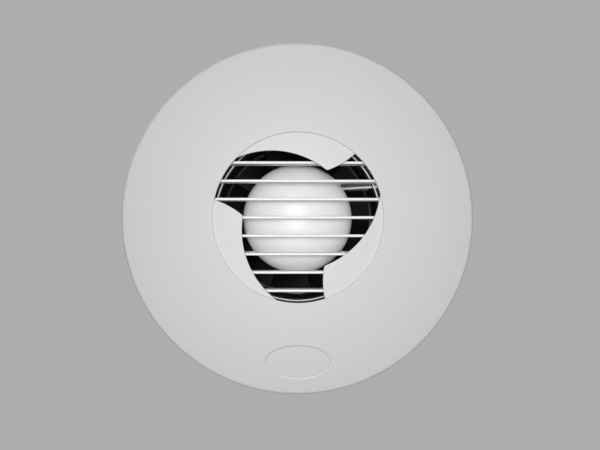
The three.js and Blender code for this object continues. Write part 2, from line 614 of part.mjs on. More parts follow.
function irisCarrier() {
  const guides = repeat(GUIDE_COUNT, (i) => {
    const angle = POST_ANGLES[0] + ((i + 0.5) * 360) / GUIDE_COUNT;
    const [from, to] = [RING_OUTER + RUN_GAP + GUIDE_WIDTH / 2, GUIDE_LENGTH / 2];
    const [x, y] = polar(from, angle);
    const [dx, dy] = polar(to, angle + 90);
    const shape = obround([x - dx, y - dy], [x + dx, y + dy], GUIDE_WIDTH / 2);
    return wedge(shape, RING_OUT - RUN_GAP / 2, CARRIER_IN + CARRIER_THICKNESS / 2);
  });
  const pivotSeats = aroundIris(
    (turned) => spoke(PIVOT_SEAT, CARRIER_IN - PIVOT_SINK, CARRIER_OUT, turned(PIVOT)),
  );
  const pinHoles = aroundIris((turned) =>
    spoke(
      PIVOT_RADIUS + PIN_GAP, CARRIER_IN - PIVOT_SINK + CARRIER_THICKNESS / 2, DOME_RADIUS, turned(PIVOT),
    ),
  );
  const shaftHole = spoke(PINION_SHAFT + RUN_GAP, CARRIER_IN - PAST, DOME_RADIUS, PINION_AXIS);
  const motorHoles = earPlaces(IRIS_MOTOR_TOP).map(
    (place) => disc(SCREW_RADIUS + SCREW_GAP, 0, RIM_ROUND * 2, SMALL, place),
  );
  const ears = POST_ANGLES.map((angle) => {
    const shape = obround(polar(CARRIER_OUTER - EAR_RADIUS, angle), polar(POST_CIRCLE, angle), EAR_RADIUS);
    return wedge(shape, CARRIER_OUT - SEAT_GAP, CARRIER_IN + SEAT_GAP);
  });
  const curved = raised(join([...ears, ...guides, ...pivotSeats]));
  const holes = [...pinHoles, shaftHole, ...motorHoles].map(raised);
  const flats = onPosts((place) => disc(EAR_RADIUS, POST_TOP + SEAT_GAP, EAR_TOP, SMALL, place));
  const heads = onPosts(
    (place) => disc(SCREW_HEAD_RADIUS + SEAT_GAP, EAR_TOP, APERTURE_HEIGHT, SMALL, place),
  );
  const shanks = onPosts((place) => disc(SCREW_RADIUS + SCREW_GAP, 0, APERTURE_HEIGHT, SMALL, place));
  return cut(join([carrierBody(), curved, ...flats]), [...holes, ...heads, ...shanks]);
}

// The carrier's domed plate with the collar that holds the grille, on a ledge.
function carrierBody() {
  const [wall, ledge] = [CARRIER_INNER + COLLAR_WALL, CARRIER_INNER - LEDGE_WIDTH];
  const face = (sphere, from) =>
    steps(BORE_STEPS, (t) => {
      const radius = THREE.MathUtils.lerp(from, CARRIER_OUTER, t);
      return [radius, heightOf(sphere, radius)];
    });
  const foot = [[ledge, GRILLE_BOTTOM - SEAT_GAP], [ledge, LEDGE_BOTTOM], [wall, LEDGE_BOTTOM]];
  const inside = face(CARRIER_OUT, CARRIER_INNER).reverse();
  return revolve(
    [...foot, ...face(CARRIER_IN, wall), ...inside, [CARRIER_INNER, GRILLE_BOTTOM - SEAT_GAP]], ROUND,
  );
}

// ---- inlet grille -----------------------------------------------------------------------------------
function inletGrille() {
  const frame = tube(GRILLE_OUTER, GRILLE_INNER, GRILLE_BOTTOM, GRILLE_TOP, ROUND);
  const slats = repeat(SLAT_COUNT, (i) => {
    const y = (i - (SLAT_COUNT - 1) / 2) * SLAT_PITCH;
    const reach = Math.sqrt((GRILLE_INNER + GRILLE_WALL / 2) ** 2 - (Math.abs(y) + SLAT_THICKNESS / 2) ** 2);
    return block(-reach, reach, y - SLAT_THICKNESS / 2, y + SLAT_THICKNESS / 2, GRILLE_BOTTOM, GRILLE_TOP);
  });
  return join([frame, ...slats]);
}

// ---- duct housing -----------------------------------------------------------------------------------
function ductHousing() {
  const [seatOuter, barrelOuter] = [SEAT_RADIUS + BARREL_WALL, BARREL_RADIUS + BARREL_WALL];
  const seatDepth = -SLEEVE_DEPTH - SEAT_GAP;
  const shell = revolve(
    [
      [SEAT_RADIUS, PLATE_THICKNESS],
      [SEAT_RADIUS, seatDepth],
      [BARREL_RADIUS, seatDepth],
      [BARREL_RADIUS, -BARREL_DEPTH],
      [SPIGOT_RADIUS - SPIGOT_WALL, -REDUCER_DEPTH],
      [SPIGOT_RADIUS - SPIGOT_WALL, -SPIGOT_DEPTH],
      [SPIGOT_RADIUS, -SPIGOT_DEPTH],
      [SPIGOT_RADIUS, -REDUCER_DEPTH],
      [barrelOuter, -BARREL_DEPTH],
      [barrelOuter, seatDepth - BARREL_WALL],
      [seatOuter, seatDepth - BARREL_WALL],
      [seatOuter, 0],
      [PLATE_RADIUS, 0],
      [PLATE_RADIUS, PLATE_THICKNESS + PLATE_RIM_HEIGHT],
      [PLATE_RADIUS - PLATE_RIM_WIDTH, PLATE_THICKNESS + PLATE_RIM_HEIGHT],
      [PLATE_RADIUS - PLATE_RIM_WIDTH, PLATE_THICKNESS],
    ],
    ROUND,
  );
  const foot = PLATE_THICKNESS / 2;
  const posts = onPosts((place) => disc(POST_RADIUS, foot, POST_TOP, SMALL, place));
  const sockets = onPegs((place) => disc(SOCKET_BORE + SOCKET_WALL, foot, SOCKET_HEIGHT, SMALL, place));
  const standoffs = boardCorners().map(
    (place) => disc(STANDOFF_RADIUS, foot, BOARD_BACK - SEAT_GAP, SMALL, place),
  );
  const pilot = (places) => places.map(
    (place) => disc(SCREW_RADIUS + SCREW_GAP, PLATE_THICKNESS / 4, SLEEVE_TOP * 2, SMALL, place),
  );
  return cut(join([shell, ...posts, ...sockets, ...standoffs]), [
    tube(GASKET_OUTER, GASKET_INNER, -PAST, GASKET_DEPTH, ROUND),
    disc(GROMMET_HOLE, -PAST, PLATE_THICKNESS + PAST, MEDIUM, at(GROMMET.x, GROMMET.y)),
    ...onPegs((place) => disc(SOCKET_BORE, PLATE_THICKNESS, SOCKET_HEIGHT + PAST, SMALL, place)),
    ...WALL_SCREW_ANGLES.map((angle) => disc(
      WALL_SCREW_RADIUS, -PAST, PLATE_THICKNESS + PAST, SMALL, at(...polar(WALL_SCREW_CIRCLE, angle)),
    )),
    ...pilot(onPosts((place) => place)),
    ...pilot(onSleeveEars((place) => place)),
    ...pilot(clampScrewPlaces()),
  ]);
}

const wallGasket = () => tube(
  GASKET_OUTER - SEAT_GAP, GASKET_INNER + SEAT_GAP, 0, GASKET_DEPTH - SEAT_GAP, ROUND,
);

function cableGrommet() {
  const low = PLATE_THICKNESS + SEAT_GAP;
  const high = low + GROMMET_FLANGE_HEIGHT;
  const plug = GROMMET_HOLE - SEAT_GAP;
  const profile = [
    [GROMMET_BORE, SEAT_GAP],
    [plug, SEAT_GAP],
    [plug, low],
    [GROMMET_FLANGE, low],
    [GROMMET_FLANGE, high],
    [GROMMET_BORE, high],
  ];
  return revolve(profile, MEDIUM, at(GROMMET.x, GROMMET.y));
}

// ---- motor support ----------------------------------------------------------------------------------
// A flat outline of [x, z] points, drawn out along y from y0 to y1.
function web(points, y0, y1) {
  const depth = y1 - y0;
  const geometry = new THREE.ExtrudeGeometry(outline(points), { depth, bevelEnabled: false });
  return solid(geometry.rotateX(Math.PI / 2).translate(0, y1, 0));
}

// An arm from the pod to the sleeve: its front edge rises from the pod's shoulder to the sleeve's mouth.
function supportArm(y0, y1, side) {
  const podEdge = POD_SHOULDER - 2 * SEAT_GAP;
  const front = [
    [ARM_START, podEdge],
    [POD_SIDE, podEdge],
    [CHANNEL_BEND, CHANNEL_TOP],
    [SLEEVE_OUTER, CHANNEL_TOP],
  ];
  const points = [[ARM_START, -ARM_BACK], ...front, [SLEEVE_OUTER, -ARM_BACK]];
  const plan = side > 0 ? points : points.map(([x, z]) => [-x, z]).reverse();
  return web(plan, y0, y1).intersect(disc(
    BARREL_RADIUS + SLEEVE_WALL / 2, -ARM_BACK - PAST, SLEEVE_TOP, ROUND,
  ));
}

function motorSupport() {
  const sleeve = tube(SLEEVE_OUTER, BARREL_RADIUS, -SLEEVE_DEPTH, SLEEVE_TOP, ROUND);
  const cupFloor = -POD_DEPTH + POD_WALL;
  const cup = disc(POD_RADIUS, -POD_DEPTH, POD_SHOULDER - SEAT_GAP, ROUND);
  const hollow = disc(POD_RADIUS - POD_WALL, cupFloor, SLEEVE_TOP, ROUND);
  const bearingHole = disc(BEARING_RADIUS + SEAT_GAP, -POD_DEPTH - PAST, cupFloor + PAST, MEDIUM);
  const channelHigh = CHANNEL_LOW + CHANNEL_HEIGHT;
  const lowerArms = [-1, 1].map(
    (side) => supportArm(-LOWER_ARM_DROP - ARM_WALL / 2, -LOWER_ARM_DROP + ARM_WALL / 2, side),
  );
  const spoutLow = CHANNEL_TOP - CHANNEL_DEPTH - CHANNEL_WALL;
  const spout = block(CHANNEL_BEND, CHANNEL_END, CHANNEL_LOW, channelHigh, spoutLow, CHANNEL_TOP);
  const floorAtPod = POD_SHOULDER - CHANNEL_DEPTH;
  const channel = web(
    [
      [ARM_START, floorAtPod],
      [POD_SIDE, floorAtPod],
      [CHANNEL_BEND, CHANNEL_TOP - CHANNEL_DEPTH],
      [CHANNEL_END - CHANNEL_WALL, CHANNEL_TOP - CHANNEL_DEPTH],
      [CHANNEL_END - CHANNEL_WALL, SLEEVE_TOP + PAST],
      [ARM_START, SLEEVE_TOP + PAST],
    ],
    CHANNEL_LOW + CHANNEL_WALL,
    channelHigh - CHANNEL_WALL,
  );
  const ears = SUPPORT_EAR_ANGLES.map((angle) => {
    const shape = obround(
      polar(BARREL_RADIUS + SUPPORT_EAR_RADIUS, angle),
      polar(SUPPORT_EAR_CIRCLE, angle),
      SUPPORT_EAR_RADIUS,
    );
    const low = PLATE_THICKNESS + SEAT_GAP;
    const bar = new THREE.ExtrudeGeometry(
      shape, { depth: SUPPORT_EAR_THICKNESS, bevelEnabled: false, curveSegments: CURVE_STEPS },
    );
    return cut(
      solid(bar.translate(0, 0, low)), [disc(BARREL_RADIUS + SLEEVE_WALL / 2, 0, SLEEVE_TOP, ROUND)],
    );
  });
  const screwHoles = onSleeveEars((place) => disc(SCREW_RADIUS + SCREW_GAP, 0, SLEEVE_TOP, SMALL, place));
  const arms = [...lowerArms, supportArm(CHANNEL_LOW, channelHigh, 1)];
  return cut(join([sleeve, cup, ...arms, spout, ...ears]), [hollow, bearingHole, channel, ...screwHoles]);
}

function motorDome() {
  const lipOuter = POD_RADIUS - POD_WALL - SEAT_GAP;
  const lipInner = lipOuter - POD_WALL;
  const curve = (radius, height, count) =>
    steps(count, (t) => {
      const angle = (t * Math.PI) / 2;
      return [
        t === 0 ? 0 : radius * Math.sin(angle),
        POD_SHOULDER + (t === 1 ? 0 : height * Math.cos(angle)),
      ];
    });
  const outside = curve(POD_RADIUS, DOME_HEIGHT, NOSE_STEPS);
  const lip = [
    [lipOuter, POD_SHOULDER],
    [lipOuter, POD_SHOULDER - DOME_LIP],
    [lipInner, POD_SHOULDER - DOME_LIP],
  ];
  return revolve(
    [...outside, ...lip, ...curve(lipInner, DOME_HEIGHT - POD_WALL, BORE_STEPS).reverse()], ROUND,
  );
}

// ---- fan motor --------------------------------------------------------------------------------------
function motorCan() {
  const cup = disc(CAN_RADIUS, CAN_BACK, CAN_FRONT, MEDIUM);
  const hollow = disc(CAN_RADIUS - CAN_WALL, CAN_BACK + CAN_WALL, CAN_FRONT + PAST, MEDIUM);
  return cut(cup, [hollow, disc(BEARING_RADIUS + SEAT_GAP, CAN_BACK - PAST, CAN_FRONT, SMALL)]);
}

const END_PLATE_BACK = CAN_FRONT + SEAT_GAP;
const CORE_RADIUS = CAN_RADIUS - CAN_WALL - SEAT_GAP;
const CORE_BORE = ROTOR_RADIUS + AIR_GAP;
const motorEndPlate = () => tube(
  CAN_RADIUS, BEARING_RADIUS + SEAT_GAP, END_PLATE_BACK, END_PLATE_BACK + CAN_WALL, MEDIUM,
);
const bearing = (middle) => tube(
  BEARING_RADIUS, SHAFT_RADIUS + PIN_GAP, middle - BEARING_LENGTH / 2, middle + BEARING_LENGTH / 2, SMALL,
);
const rotorCore = () => tube(ROTOR_RADIUS, SHAFT_RADIUS + SEAT_GAP, CORE_BACK, CORE_FRONT, MEDIUM);
const motorShaft = () => disc(SHAFT_RADIUS, HUB_BACK - SHAFT_PROUD, SHAFT_FRONT, SMALL);

// The laminated ring, with slots open to the bore between its poles.
function statorCore() {
  const ring = tube(CORE_RADIUS, CORE_BORE, CORE_BACK, CORE_FRONT, MEDIUM);
  const slots = repeat(POLE_COUNT, (i) => {
    const turn = new THREE.Matrix4().makeRotationZ(((i + 0.5) * 2 * Math.PI) / POLE_COUNT);
    const bar = new THREE.BoxGeometry(
      CORE_RADIUS - CORE_BORE - CORE_YOKE + PAST, SLOT_WIDTH, CORE_LENGTH + 2 * PAST,
    );
    bar.translate((CORE_RADIUS + CORE_BORE - CORE_YOKE - PAST) / 2, 0, (CORE_BACK + CORE_FRONT) / 2);
    return solid(bar.applyMatrix4(turn));
  });
  return cut(ring, slots);
}

// An end winding: a rounded ring that lies on one end of the core.
function winding(low) {
  const [inner, outer] = [CORE_BORE + WINDING_INSET, CORE_RADIUS - WINDING_INSET];
  const [middle, half] = [(inner + outer) / 2, (outer - inner) / 2];
  const crown = steps(CROWN_STEPS, (t) => {
    const angle = Math.PI * t;
    return [
      middle + half * Math.cos(angle),
      low + WINDING_HEIGHT / 2 + (WINDING_HEIGHT / 2) * Math.sin(angle),
    ];
  });
  return revolve([[outer, low], ...crown, [inner, low]], MEDIUM);
}

// ---- impeller ---------------------------------------------------------------------------------------
// One blade: sections round the axis at a few radii, each turned to its own pitch and joined by faces.
function blade() {
  const [root, tip] = [HUB_RADIUS - HUB_WALL / 2, BARREL_RADIUS - TIP_GAP];
  const sections = steps(BLADE_SECTIONS, (t) => {
    const radius = THREE.MathUtils.lerp(root, tip, t);
    const chord = THREE.MathUtils.lerp(BLADE_CHORD_ROOT, BLADE_CHORD_TIP, t);
    const pitch = rad(THREE.MathUtils.lerp(BLADE_PITCH_ROOT, BLADE_PITCH_TIP, t));
    const loop = (side) =>
      steps(BLADE_POINTS, (s) => {
        const along = (s - 0.5) * chord;
        const bow = BLADE_CAMBER * chord * (1 - (2 * s - 1) ** 2);
        const across = bow + (side * BLADE_THICKNESS * (1 - (1 - BLADE_EDGE) * Math.abs(2 * s - 1))) / 2;
        const around = (along * Math.cos(pitch) - across * Math.sin(pitch)) / radius;
        const height = along * Math.sin(pitch) + across * Math.cos(pitch);
        return [radius * Math.cos(around), radius * Math.sin(around), (HUB_FRONT + HUB_BACK) / 2 + height];
      });
    return [...loop(1), ...loop(-1).reverse()];
  });
  return loft(sections);
}

// A closed solid through loops that all have as many points.
function loft(sections) {
  const count = sections[0].length;
  const faces = [];
  for (let s = 0; s + 1 < sections.length; s++) {
    for (let i = 0; i < count; i++) {
      const [a, b] = [s * count + i, s * count + ((i + 1) % count)];
      faces.push(a, b, b + count, a, b + count, a + count);
    }
  }
  const last = (sections.length - 1) * count;
  for (let i = 0; i < count / 2 - 1; i++) {
    const [a, b, c, d] = [i, i + 1, count - 2 - i, count - 1 - i];
    faces.push(a, c, b, a, d, c, last + a, last + b, last + c, last + a, last + c, last + d);
  }
  const geometry = new THREE.BufferGeometry();
  geometry.setAttribute("position", new THREE.Float32BufferAttribute(sections.flat(2), 3));
  geometry.setIndex(faces);
  return solid(geometry);
}

function impeller() {
  const hub = disc(HUB_RADIUS, HUB_BACK, HUB_FRONT, ROUND);
  const hollow = disc(HUB_RADIUS - HUB_WALL, HUB_BACK - PAST, HUB_FRONT - HUB_WALL, ROUND);
  const boss = disc(HUB_BOSS, NUT_TOP + SEAT_GAP, HUB_FRONT, MEDIUM);
  const one = surface(blade());
  const blades = repeat(BLADE_COUNT, (i) => solid(one.clone().rotateZ((i * 2 * Math.PI) / BLADE_COUNT)));
  const ribs = repeat(HUB_RIBS, (i) => {
    const rib = new THREE.BoxGeometry(HUB_RADIUS - HUB_BOSS, HUB_WALL, HUB_RIB_HEIGHT + HUB_WALL / 2);
    rib.translate(
      (HUB_RADIUS + HUB_BOSS) / 2 - HUB_WALL / 2, 0, HUB_FRONT - HUB_WALL / 2 - HUB_RIB_HEIGHT / 2,
    );
    return solid(rib.rotateZ((i * 2 * Math.PI) / HUB_RIBS));
  });
  const shaftHole = disc(SHAFT_RADIUS + SEAT_GAP, HUB_BACK - PAST, HUB_FRONT + PAST, SMALL);
  return cut(join([cut(hub, [hollow]), boss, ...ribs, ...blades]), [shaftHole]);
}

function impellerNut() {
  const hole = disc(SHAFT_RADIUS + SEAT_GAP, NUT_TOP - NUT_HEIGHT - PAST, NUT_TOP + PAST, SMALL);
  return cut(disc(NUT_RADIUS, NUT_TOP - NUT_HEIGHT, NUT_TOP, HEX), [hole]);
}

// ---- iris motor, about the pinion's axis ------------------------------------------------------------
function irisMotor() {
  const top = IRIS_MOTOR_TOP;
  const can = disc(IRIS_MOTOR_RADIUS, top - IRIS_MOTOR_HEIGHT, top, MEDIUM, at(0, -IRIS_MOTOR_OFFSET));
  const reach = IRIS_EAR_SPAN + IRIS_EAR_HALF_WIDTH;
  const [near, far] = [IRIS_EAR_HALF_WIDTH - IRIS_MOTOR_OFFSET, -IRIS_EAR_HALF_WIDTH - IRIS_MOTOR_OFFSET];
  const ears = block(-reach, reach, far, near, top - IRIS_EAR_THICKNESS, top);
  const holes = [-IRIS_EAR_SPAN, IRIS_EAR_SPAN].map((x) =>
    disc(
      SCREW_RADIUS + SCREW_GAP,
      top - IRIS_EAR_THICKNESS - PAST,
      top + PAST,
      SMALL,
      at(x, -IRIS_MOTOR_OFFSET),
    ),
  );
  const bore = disc(PINION_SHAFT + RUN_GAP, CARRIER_IN - PINION_SHAFT_SINK - RUN_GAP, top + PAST, SMALL);
  return cut(can.add(ears), [...holes, bore]);
}

// ---- electrics --------------------------------------------------------------------------------------
function boardCorners() {
  const [x, y] = [BOARD.width / 2 - STANDOFF_INSET, BOARD.height / 2 - STANDOFF_INSET];
  return [[-x, -y], [x, -y], [x, y], [-x, y]].map(([dx, dy]) => at(BOARD.x + dx, BOARD.y + dy));
}
const controlBoard = () => slab(BOARD, BOARD_BACK);
const onBoard = (place) => slab(place, BOARD_BACK + BOARD.thickness + SEAT_GAP);

const terminalPlaces = () => repeat(
  TERMINAL_WAYS, (i) => TERMINAL.x + (i - (TERMINAL_WAYS - 1) / 2) * TERMINAL_PITCH,
);
const TERMINAL_BACK = PLATE_THICKNESS + SEAT_GAP;
const TERMINAL_FLOOR = TERMINAL_BACK + TERMINAL_WALL;
const TERMINAL_SEAT = TERMINAL_BACK + TERMINAL.thickness - SCREW_HEAD_HEIGHT - SEAT_GAP;

function terminalBlock() {
  const recesses = terminalPlaces().flatMap((x) => [
    disc(
      SCREW_HEAD_RADIUS + SEAT_GAP,
      TERMINAL_SEAT,
      TERMINAL_SEAT + TERMINAL.thickness,
      SMALL,
      at(x, TERMINAL.y),
    ),
    disc(SCREW_RADIUS + SCREW_GAP, TERMINAL_FLOOR, TERMINAL_SEAT + PAST, SMALL, at(x, TERMINAL.y)),
    block(
      x - WIRE_HOLE / 2,
      x + WIRE_HOLE / 2,
      TERMINAL.y - TERMINAL.height,
      TERMINAL.y,
      TERMINAL_FLOOR,
      TERMINAL_FLOOR + WIRE_HOLE,
    ),
  ]);
  return cut(slab(TERMINAL, TERMINAL_BACK), recesses);
}

function terminalCover() {
  const [inner, wall] = [SEAT_GAP, SEAT_GAP + TERMINAL_COVER_WALL];
  const outside = { ...TERMINAL, thickness: TERMINAL.thickness + wall };
  const inside = { ...TERMINAL, thickness: TERMINAL.thickness + inner + PAST };
  const right = TERMINAL.x + TERMINAL.width / 2;
  const door = block(
    right,
    right + 2 * wall,
    TERMINAL.y - WIRE_HOLE,
    TERMINAL.y + WIRE_HOLE,
    TERMINAL_BACK - PAST,
    TERMINAL_BACK + WIRE_HOLE,
  );
  return cut(slab(outside, TERMINAL_BACK, wall), [slab(inside, TERMINAL_BACK - PAST, inner), door]);
}

function clampScrewPlaces() {
  return [-1, 1].map((side) => at(CLAMP.x, CLAMP.y + (side * CLAMP_SCREW_PITCH) / 2));
}

function cordClamp() {
  const low = PLATE_THICKNESS + SEAT_GAP;
  const half = CLAMP_SADDLE + CLAMP.thickness;
  const [x0, x1] = [CLAMP.x - CLAMP.width / 2, CLAMP.x + CLAMP.width / 2];
  const bridge = block(x0, x1, CLAMP.y - half, CLAMP.y + half, low, low + half);
  const cord = new THREE.CylinderGeometry(CLAMP_SADDLE, CLAMP_SADDLE, CLAMP.width + 2 * PAST, SMALL);
  const saddle = solid(cord.rotateZ(Math.PI / 2).translate(CLAMP.x, CLAMP.y, low));
  const holes = clampScrewPlaces().map(
    (place) => disc(SCREW_RADIUS + SCREW_GAP, 0, low + half, SMALL, place),
  );
  return cut(slab(CLAMP, low).add(bridge), [saddle, ...holes]);
}

// ---- screws -----------------------------------------------------------------------------------------
// A slotted pan-head screw: its head sits on z = 0 and its shank runs down.
function screw(length) {
  const shank = disc(SCREW_RADIUS, -length, SCREW_HEAD_HEIGHT / 2, SMALL);
  const head = revolve(
    [
      [0, 0],
      [SCREW_HEAD_RADIUS, 0],
      [SCREW_HEAD_RADIUS, SCREW_HEAD_HEIGHT / 2],
      [SCREW_HEAD_RADIUS * SCREW_CROWN, SCREW_HEAD_HEIGHT],
      [0, SCREW_HEAD_HEIGHT],
    ],
    SMALL,
  );
  const reach = SCREW_HEAD_RADIUS + PAST;
  const slot = block(
    -reach, reach, -SCREW_SLOT / 2, SCREW_SLOT / 2, SCREW_HEAD_HEIGHT / 2, SCREW_HEAD_HEIGHT + PAST,
  );
  return cut(shank.add(head), [slot]);
}

// ---- places of what repeats ---------------------------------------------------------------------------
function onPosts(make) {
  return POST_ANGLES.map((angle) => make(at(...polar(POST_CIRCLE, angle))));
}
function onPegs(make) {
  return PEG_ANGLES.map((angle) => make(at(...polar(PEG_CIRCLE, angle))));
}
function onSleeveEars(make) {
  return SUPPORT_EAR_ANGLES.map((angle) => make(at(...polar(SUPPORT_EAR_CIRCLE, angle))));
}
function aroundIris(make) {
  return repeat(
    LEAF_COUNT, (i) => make((towards) => towards.clone().applyAxisAngle(Z, (i * 2 * Math.PI) / LEAF_COUNT)),
  );
}

// ---- assembly -----------------------------------------------------------------------------------------
const fan = new THREE.Group();
fan.rotation.x = Math.PI / 2; // stands the wall frame up: its z becomes -Y and its y becomes +Z
const sphere = new THREE.Group();
sphere.position.z = DOME_CENTRE;
fan.add(sphere);

function piece(parent, name, body, material, place = null) {
  const mesh = new THREE.Mesh(body.isBufferGeometry ? body : surface(body), material);
  mesh.name = name;
  if (place) mesh.applyMatrix4(place);
  parent.add(mesh);
}

piece(fan, "front_cover", frontCover(), WHITE);
piece(sphere, "badge_blank", badgeBlank(), BADGE_WHITE);

const leafShape = surface(leaf());
const pinShape = surface(pivotPin());
const shown = new THREE.Quaternion().setFromAxisAngle(PIVOT, rad(SHOWN_TURN));
repeat(LEAF_COUNT, (i) => {
  const third = new THREE.Group();
  third.rotation.z = (i * 2 * Math.PI) / LEAF_COUNT;
  sphere.add(third);
  piece(third, `iris_leaf_${i + 1}`, leafShape, WHITE, new THREE.Matrix4().makeRotationFromQuaternion(shown));
  piece(third, `leaf_pivot_pin_${i + 1}`, pinShape, STEEL);
});
piece(sphere, "drive_ring", driveRing(), ACETAL);
piece(sphere, "drive_pinion", pinion(), ACETAL, tilt(PINION_AXIS));
piece(fan, "iris_carrier", irisCarrier(), INNER_WHITE);
piece(sphere, "iris_motor", irisMotor(), STEEL, onMotor(0, 0, 0));
const flip = new THREE.Matrix4().makeRotationX(Math.PI);
const shortScrew = surface(screw(SHORT_SCREW_LENGTH));
const motorScrew = surface(screw(MOTOR_SCREW_LENGTH));
earPlaces(IRIS_MOTOR_TOP - IRIS_EAR_THICKNESS - HEAD_GAP).forEach((place, i) => {
  piece(sphere, `iris_motor_screw_${i + 1}`, motorScrew, STEEL, place.multiply(flip));
});

piece(fan, "inlet_grille", inletGrille(), WHITE);
piece(fan, "duct_housing", ductHousing(), CHARCOAL);
piece(fan, "wall_gasket", wallGasket(), FOAM);
piece(fan, "cable_grommet", cableGrommet(), DARK_PLASTIC);
piece(fan, "motor_support", motorSupport(), WHITE);
piece(fan, "motor_dome", motorDome(), WHITE);
piece(fan, "motor_can", motorCan(), STEEL);
piece(fan, "motor_end_plate", motorEndPlate(), STEEL);
piece(fan, "stator_core", statorCore(), LAMINATION);
piece(fan, "winding_front", winding(CORE_FRONT + SEAT_GAP), COPPER);
piece(fan, "winding_rear", winding(-CORE_BACK + SEAT_GAP), COPPER, flip);
piece(fan, "bearing_front", bearing(END_PLATE_BACK + CAN_WALL / 2), BRONZE);
piece(fan, "bearing_rear", bearing(CAN_BACK), BRONZE);
piece(fan, "rotor_core", rotorCore(), LAMINATION);
piece(fan, "motor_shaft", motorShaft(), STEEL);
piece(fan, "impeller", impeller(), DARK_PLASTIC);
piece(fan, "impeller_nut", impellerNut(), BRONZE);

piece(fan, "control_board", controlBoard(), BOARD_GREEN);
piece(fan, "board_capacitor", onBoard(CAPACITOR), CAPACITOR_YELLOW);
piece(fan, "board_relay", onBoard(RELAY), RELAY_BLACK);
piece(fan, "terminal_block", terminalBlock(), TERMINAL_GREY);
piece(fan, "terminal_cover", terminalCover(), INNER_WHITE);
piece(fan, "cord_clamp", cordClamp(), INNER_WHITE);

const longScrew = surface(screw(SCREW_LENGTH));
onPosts((place) => place).forEach((place, i) => {
  piece(fan, `carrier_screw_${i + 1}`, longScrew, STEEL, place.multiply(at(0, 0, EAR_TOP + HEAD_GAP)));
});
const supportSeat = PLATE_THICKNESS + SEAT_GAP + SUPPORT_EAR_THICKNESS + HEAD_GAP;
onSleeveEars((place) => place).forEach((place, i) => {
  piece(fan, `support_screw_${i + 1}`, shortScrew, STEEL, place.multiply(at(0, 0, supportSeat)));
});
const clampSeat = PLATE_THICKNESS + SEAT_GAP + CLAMP.thickness + HEAD_GAP;
clampScrewPlaces().forEach((place, i) => {
  piece(fan, `clamp_screw_${i + 1}`, shortScrew, STEEL, place.multiply(at(0, 0, clampSeat)));
});
terminalPlaces().forEach((x, i) => {
  piece(fan, `terminal_screw_${i + 1}`, shortScrew, BRONZE, at(x, TERMINAL.y, TERMINAL_SEAT + HEAD_GAP));
});

export default fan;
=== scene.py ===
"""Round exhaust fan with an iris shutter: its visible surfaces and finishes on its working model's frame.

Shapes are laid out in the wall frame, in millimetres: x to the right, y up the wall, z out of the wall
towards the room. Sheets that lie on the iris's sphere take their place from the sphere's own centre.
"""

import json
import math

import bmesh
import bpy
import numpy as np
from bpy.props import FloatProperty, FloatVectorProperty, PointerProperty
from mathutils import Matrix, Vector, geometry

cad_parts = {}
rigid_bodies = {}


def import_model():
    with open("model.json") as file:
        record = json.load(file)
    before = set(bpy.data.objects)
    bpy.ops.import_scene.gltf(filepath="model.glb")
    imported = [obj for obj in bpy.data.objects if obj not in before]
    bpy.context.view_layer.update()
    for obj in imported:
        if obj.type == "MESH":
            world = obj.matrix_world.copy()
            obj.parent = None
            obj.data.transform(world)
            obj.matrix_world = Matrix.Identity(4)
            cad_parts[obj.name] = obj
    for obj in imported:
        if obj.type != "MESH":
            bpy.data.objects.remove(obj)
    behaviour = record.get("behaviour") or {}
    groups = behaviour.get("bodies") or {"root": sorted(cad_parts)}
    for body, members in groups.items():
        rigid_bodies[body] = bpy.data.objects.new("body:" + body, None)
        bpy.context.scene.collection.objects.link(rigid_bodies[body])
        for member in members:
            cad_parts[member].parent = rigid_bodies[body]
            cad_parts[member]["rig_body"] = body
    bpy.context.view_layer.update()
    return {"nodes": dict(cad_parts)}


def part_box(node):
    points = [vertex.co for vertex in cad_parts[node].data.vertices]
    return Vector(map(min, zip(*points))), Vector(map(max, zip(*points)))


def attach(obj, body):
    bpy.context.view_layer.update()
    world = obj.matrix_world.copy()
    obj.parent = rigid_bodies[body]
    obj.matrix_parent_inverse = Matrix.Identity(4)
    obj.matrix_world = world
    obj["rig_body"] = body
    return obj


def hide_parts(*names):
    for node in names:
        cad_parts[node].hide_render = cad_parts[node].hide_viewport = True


bl_info = {
    "name": "Iris Exhaust Fan",
    "version": (1, 0, 0),
    "blender": (4, 5, 0),
    "location": "View3D > Sidebar > Exhaust Fan",
    "description": "Dresses the working model of a round exhaust fan with an iris shutter",
    "category": "Add Mesh",
}

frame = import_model()
MM = 0.001

# ---- sizes of the working model, in millimetres -------------------------------------------------------
SEAT_GAP = 0.3
RUN_GAP = 0.4
PIN_GAP = 0.25
COVER_RADIUS = 125
COVER_WALL = 1.8
DOME_RADIUS = 400
APERTURE_RADIUS = 59
APERTURE_HEIGHT = 29.7
RIM_ROUND = 3
SKIRT_GAP = 1
BADGE_HALF_WIDTH = 22.6
BADGE_HALF_HEIGHT = 11.5
BADGE_DROP = 101
BADGE_RECESS = 1
BADGE_THICKNESS = 0.5
PEG_RADIUS = 2.2
PEG_CIRCLE = 112
PEG_TIP = 3.4
PEG_ANGLES = (30, 150, 270)
SOCKET_OUTER = 4.1
SOCKET_BORE = 2.5
SOCKET_HEIGHT = 9

